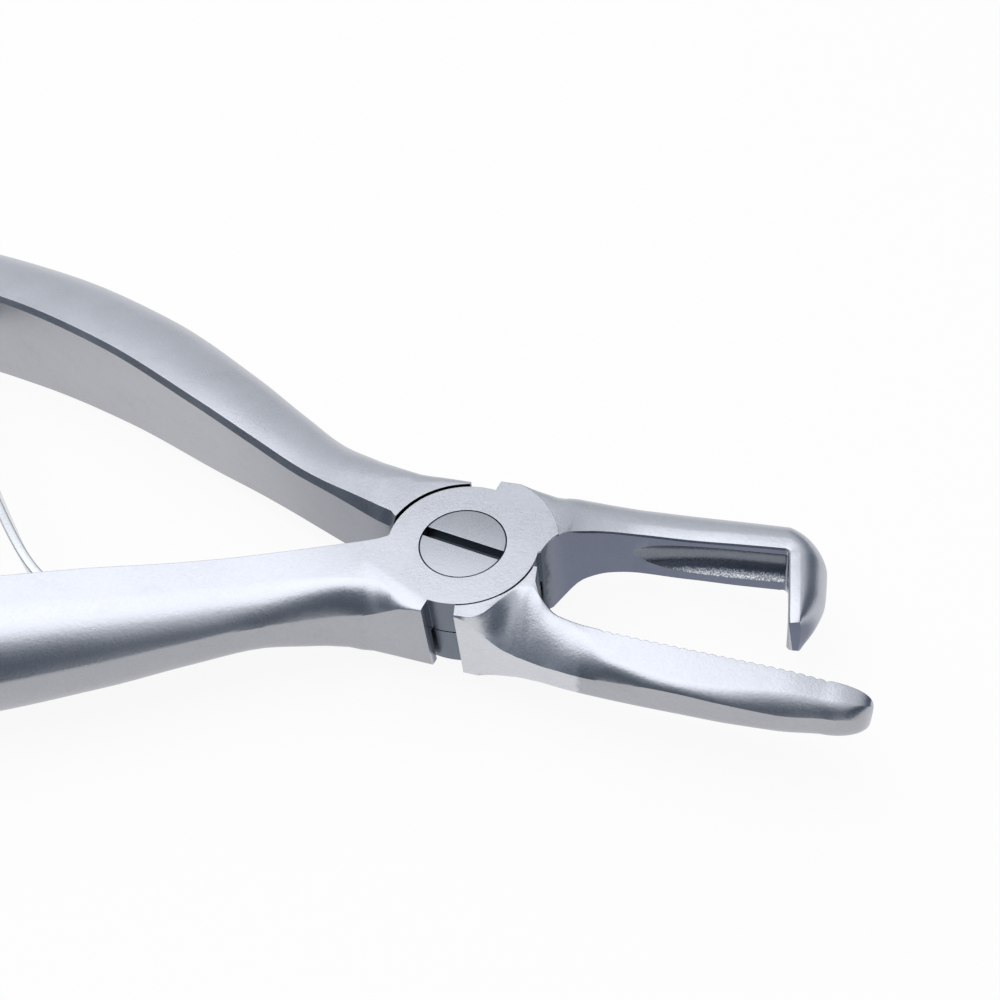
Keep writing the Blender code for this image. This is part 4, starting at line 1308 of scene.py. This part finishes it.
# Dark cards that the steel mirrors: where each stands, the cosines of the angles from there at
# which its full dark and its fading end, and how much light is left
DARK_CARDS = (
    ((-0.15, -0.84, 0.52), 0.95, 0.80, 0.22),
    ((-0.25, -0.95, 0.15), 0.94, 0.80, 0.22),
    ((0.72, -0.56, 0.38), 0.95, 0.84, 0.18),
    ((-0.86, -0.33, 0.40), 0.97, 0.88, 0.22),
    ((0.86, 0.34, 0.28), 0.95, 0.72, 0.22),
    ((0.50, 0.85, 0.12), 0.97, 0.80, 0.50),
)
DARK_TINT = (0.62, 0.78, 1.0, 1.0)
LIGHT_TINT = (0.96, 0.98, 1.0, 1.0)

SOFTBOX_SIZE = 0.46
SOFTBOX_ENERGY = 0.62
SOFTBOX_AT = (-0.13, 0.035, 0.376)


def seen_directly(graph):
    """1 for what the camera sees itself, straight, mirrored or through something."""
    path = graph.nodes.new("ShaderNodeLightPath")
    total = path.outputs["Is Camera Ray"]
    for name in ("Is Glossy Ray", "Is Transmission Ray"):
        total = graph.maths("MAXIMUM", total, path.outputs[name])
    return total


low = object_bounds()[0]
bm = bmesh.new()
bmesh.ops.create_grid(bm, x_segments=1, y_segments=1, size=FLOOR_SIZE)
floor = add_object("floor", bm)
floor.location = (0.0, 0.0, low.z - FLOOR_BELOW)
floor_material = bpy.data.materials.new("floor_white")
floor_material.use_nodes = True
graph = Graph(floor_material.node_tree)
nodes, links = graph.nodes, graph.links
paper = nodes["Principled BSDF"]
paper.inputs["Base Color"].default_value = (0.93, 0.93, 0.94, 1.0)
paper.inputs["Roughness"].default_value = 0.9
glow = nodes.new("ShaderNodeEmission")
glow.inputs["Color"].default_value = (1.0, 1.0, 1.0, 1.0)
mix = nodes.new("ShaderNodeMixShader")
links.new(graph.maths("MULTIPLY", seen_directly(graph), FLOOR_GLOW), mix.inputs["Fac"])
links.new(paper.outputs["BSDF"], mix.inputs[1])
links.new(glow.outputs["Emission"], mix.inputs[2])
links.new(mix.outputs["Shader"], nodes["Material Output"].inputs["Surface"])
floor.data.materials.append(floor_material)

world = bpy.data.worlds.new("studio")
bpy.context.scene.world = world
world.use_nodes = True
graph = Graph(world.node_tree)
nodes, links = graph.nodes, graph.links
background = nodes["Background"]
sky = nodes.new("ShaderNodeTexCoord").outputs["Generated"]
shadow = None
for direction, full, faint, left in DARK_CARDS:
    facing = graph.dot(sky, tuple(Vector(direction).normalized()))
    card = graph.spread(facing, (faint, full), (1.0, left), smooth=True)
    shadow = graph.maths("MINIMUM", shadow, card) if shadow else card
upward = graph.dot(sky, (0.0, 0.0, 1.0))
level = graph.spread(upward, (0.0, 0.95), (0.82, 0.95), smooth=True)
level = graph.maths("MULTIPLY", level, shadow)
links.new(level, background.inputs["Strength"])
tint = nodes.new("ShaderNodeMix")
tint.data_type = "RGBA"
tint.inputs["A"].default_value = DARK_TINT
tint.inputs["B"].default_value = LIGHT_TINT
links.new(graph.spread(level, (0.1, 0.8), RISE, smooth=True), tint.inputs["Factor"])
links.new(tint.outputs["Result"], background.inputs["Color"])

softbox_data = bpy.data.lights.new("softbox", "AREA")
softbox_data.shape = "DISK"
softbox_data.size = SOFTBOX_SIZE
softbox_data.energy = SOFTBOX_ENERGY
softbox = bpy.data.objects.new("softbox", softbox_data)
softbox.location = SOFTBOX_AT
softbox.rotation_euler = softbox.location.to_track_quat("Z", "Y").to_euler()
bpy.context.scene.collection.objects.link(softbox)
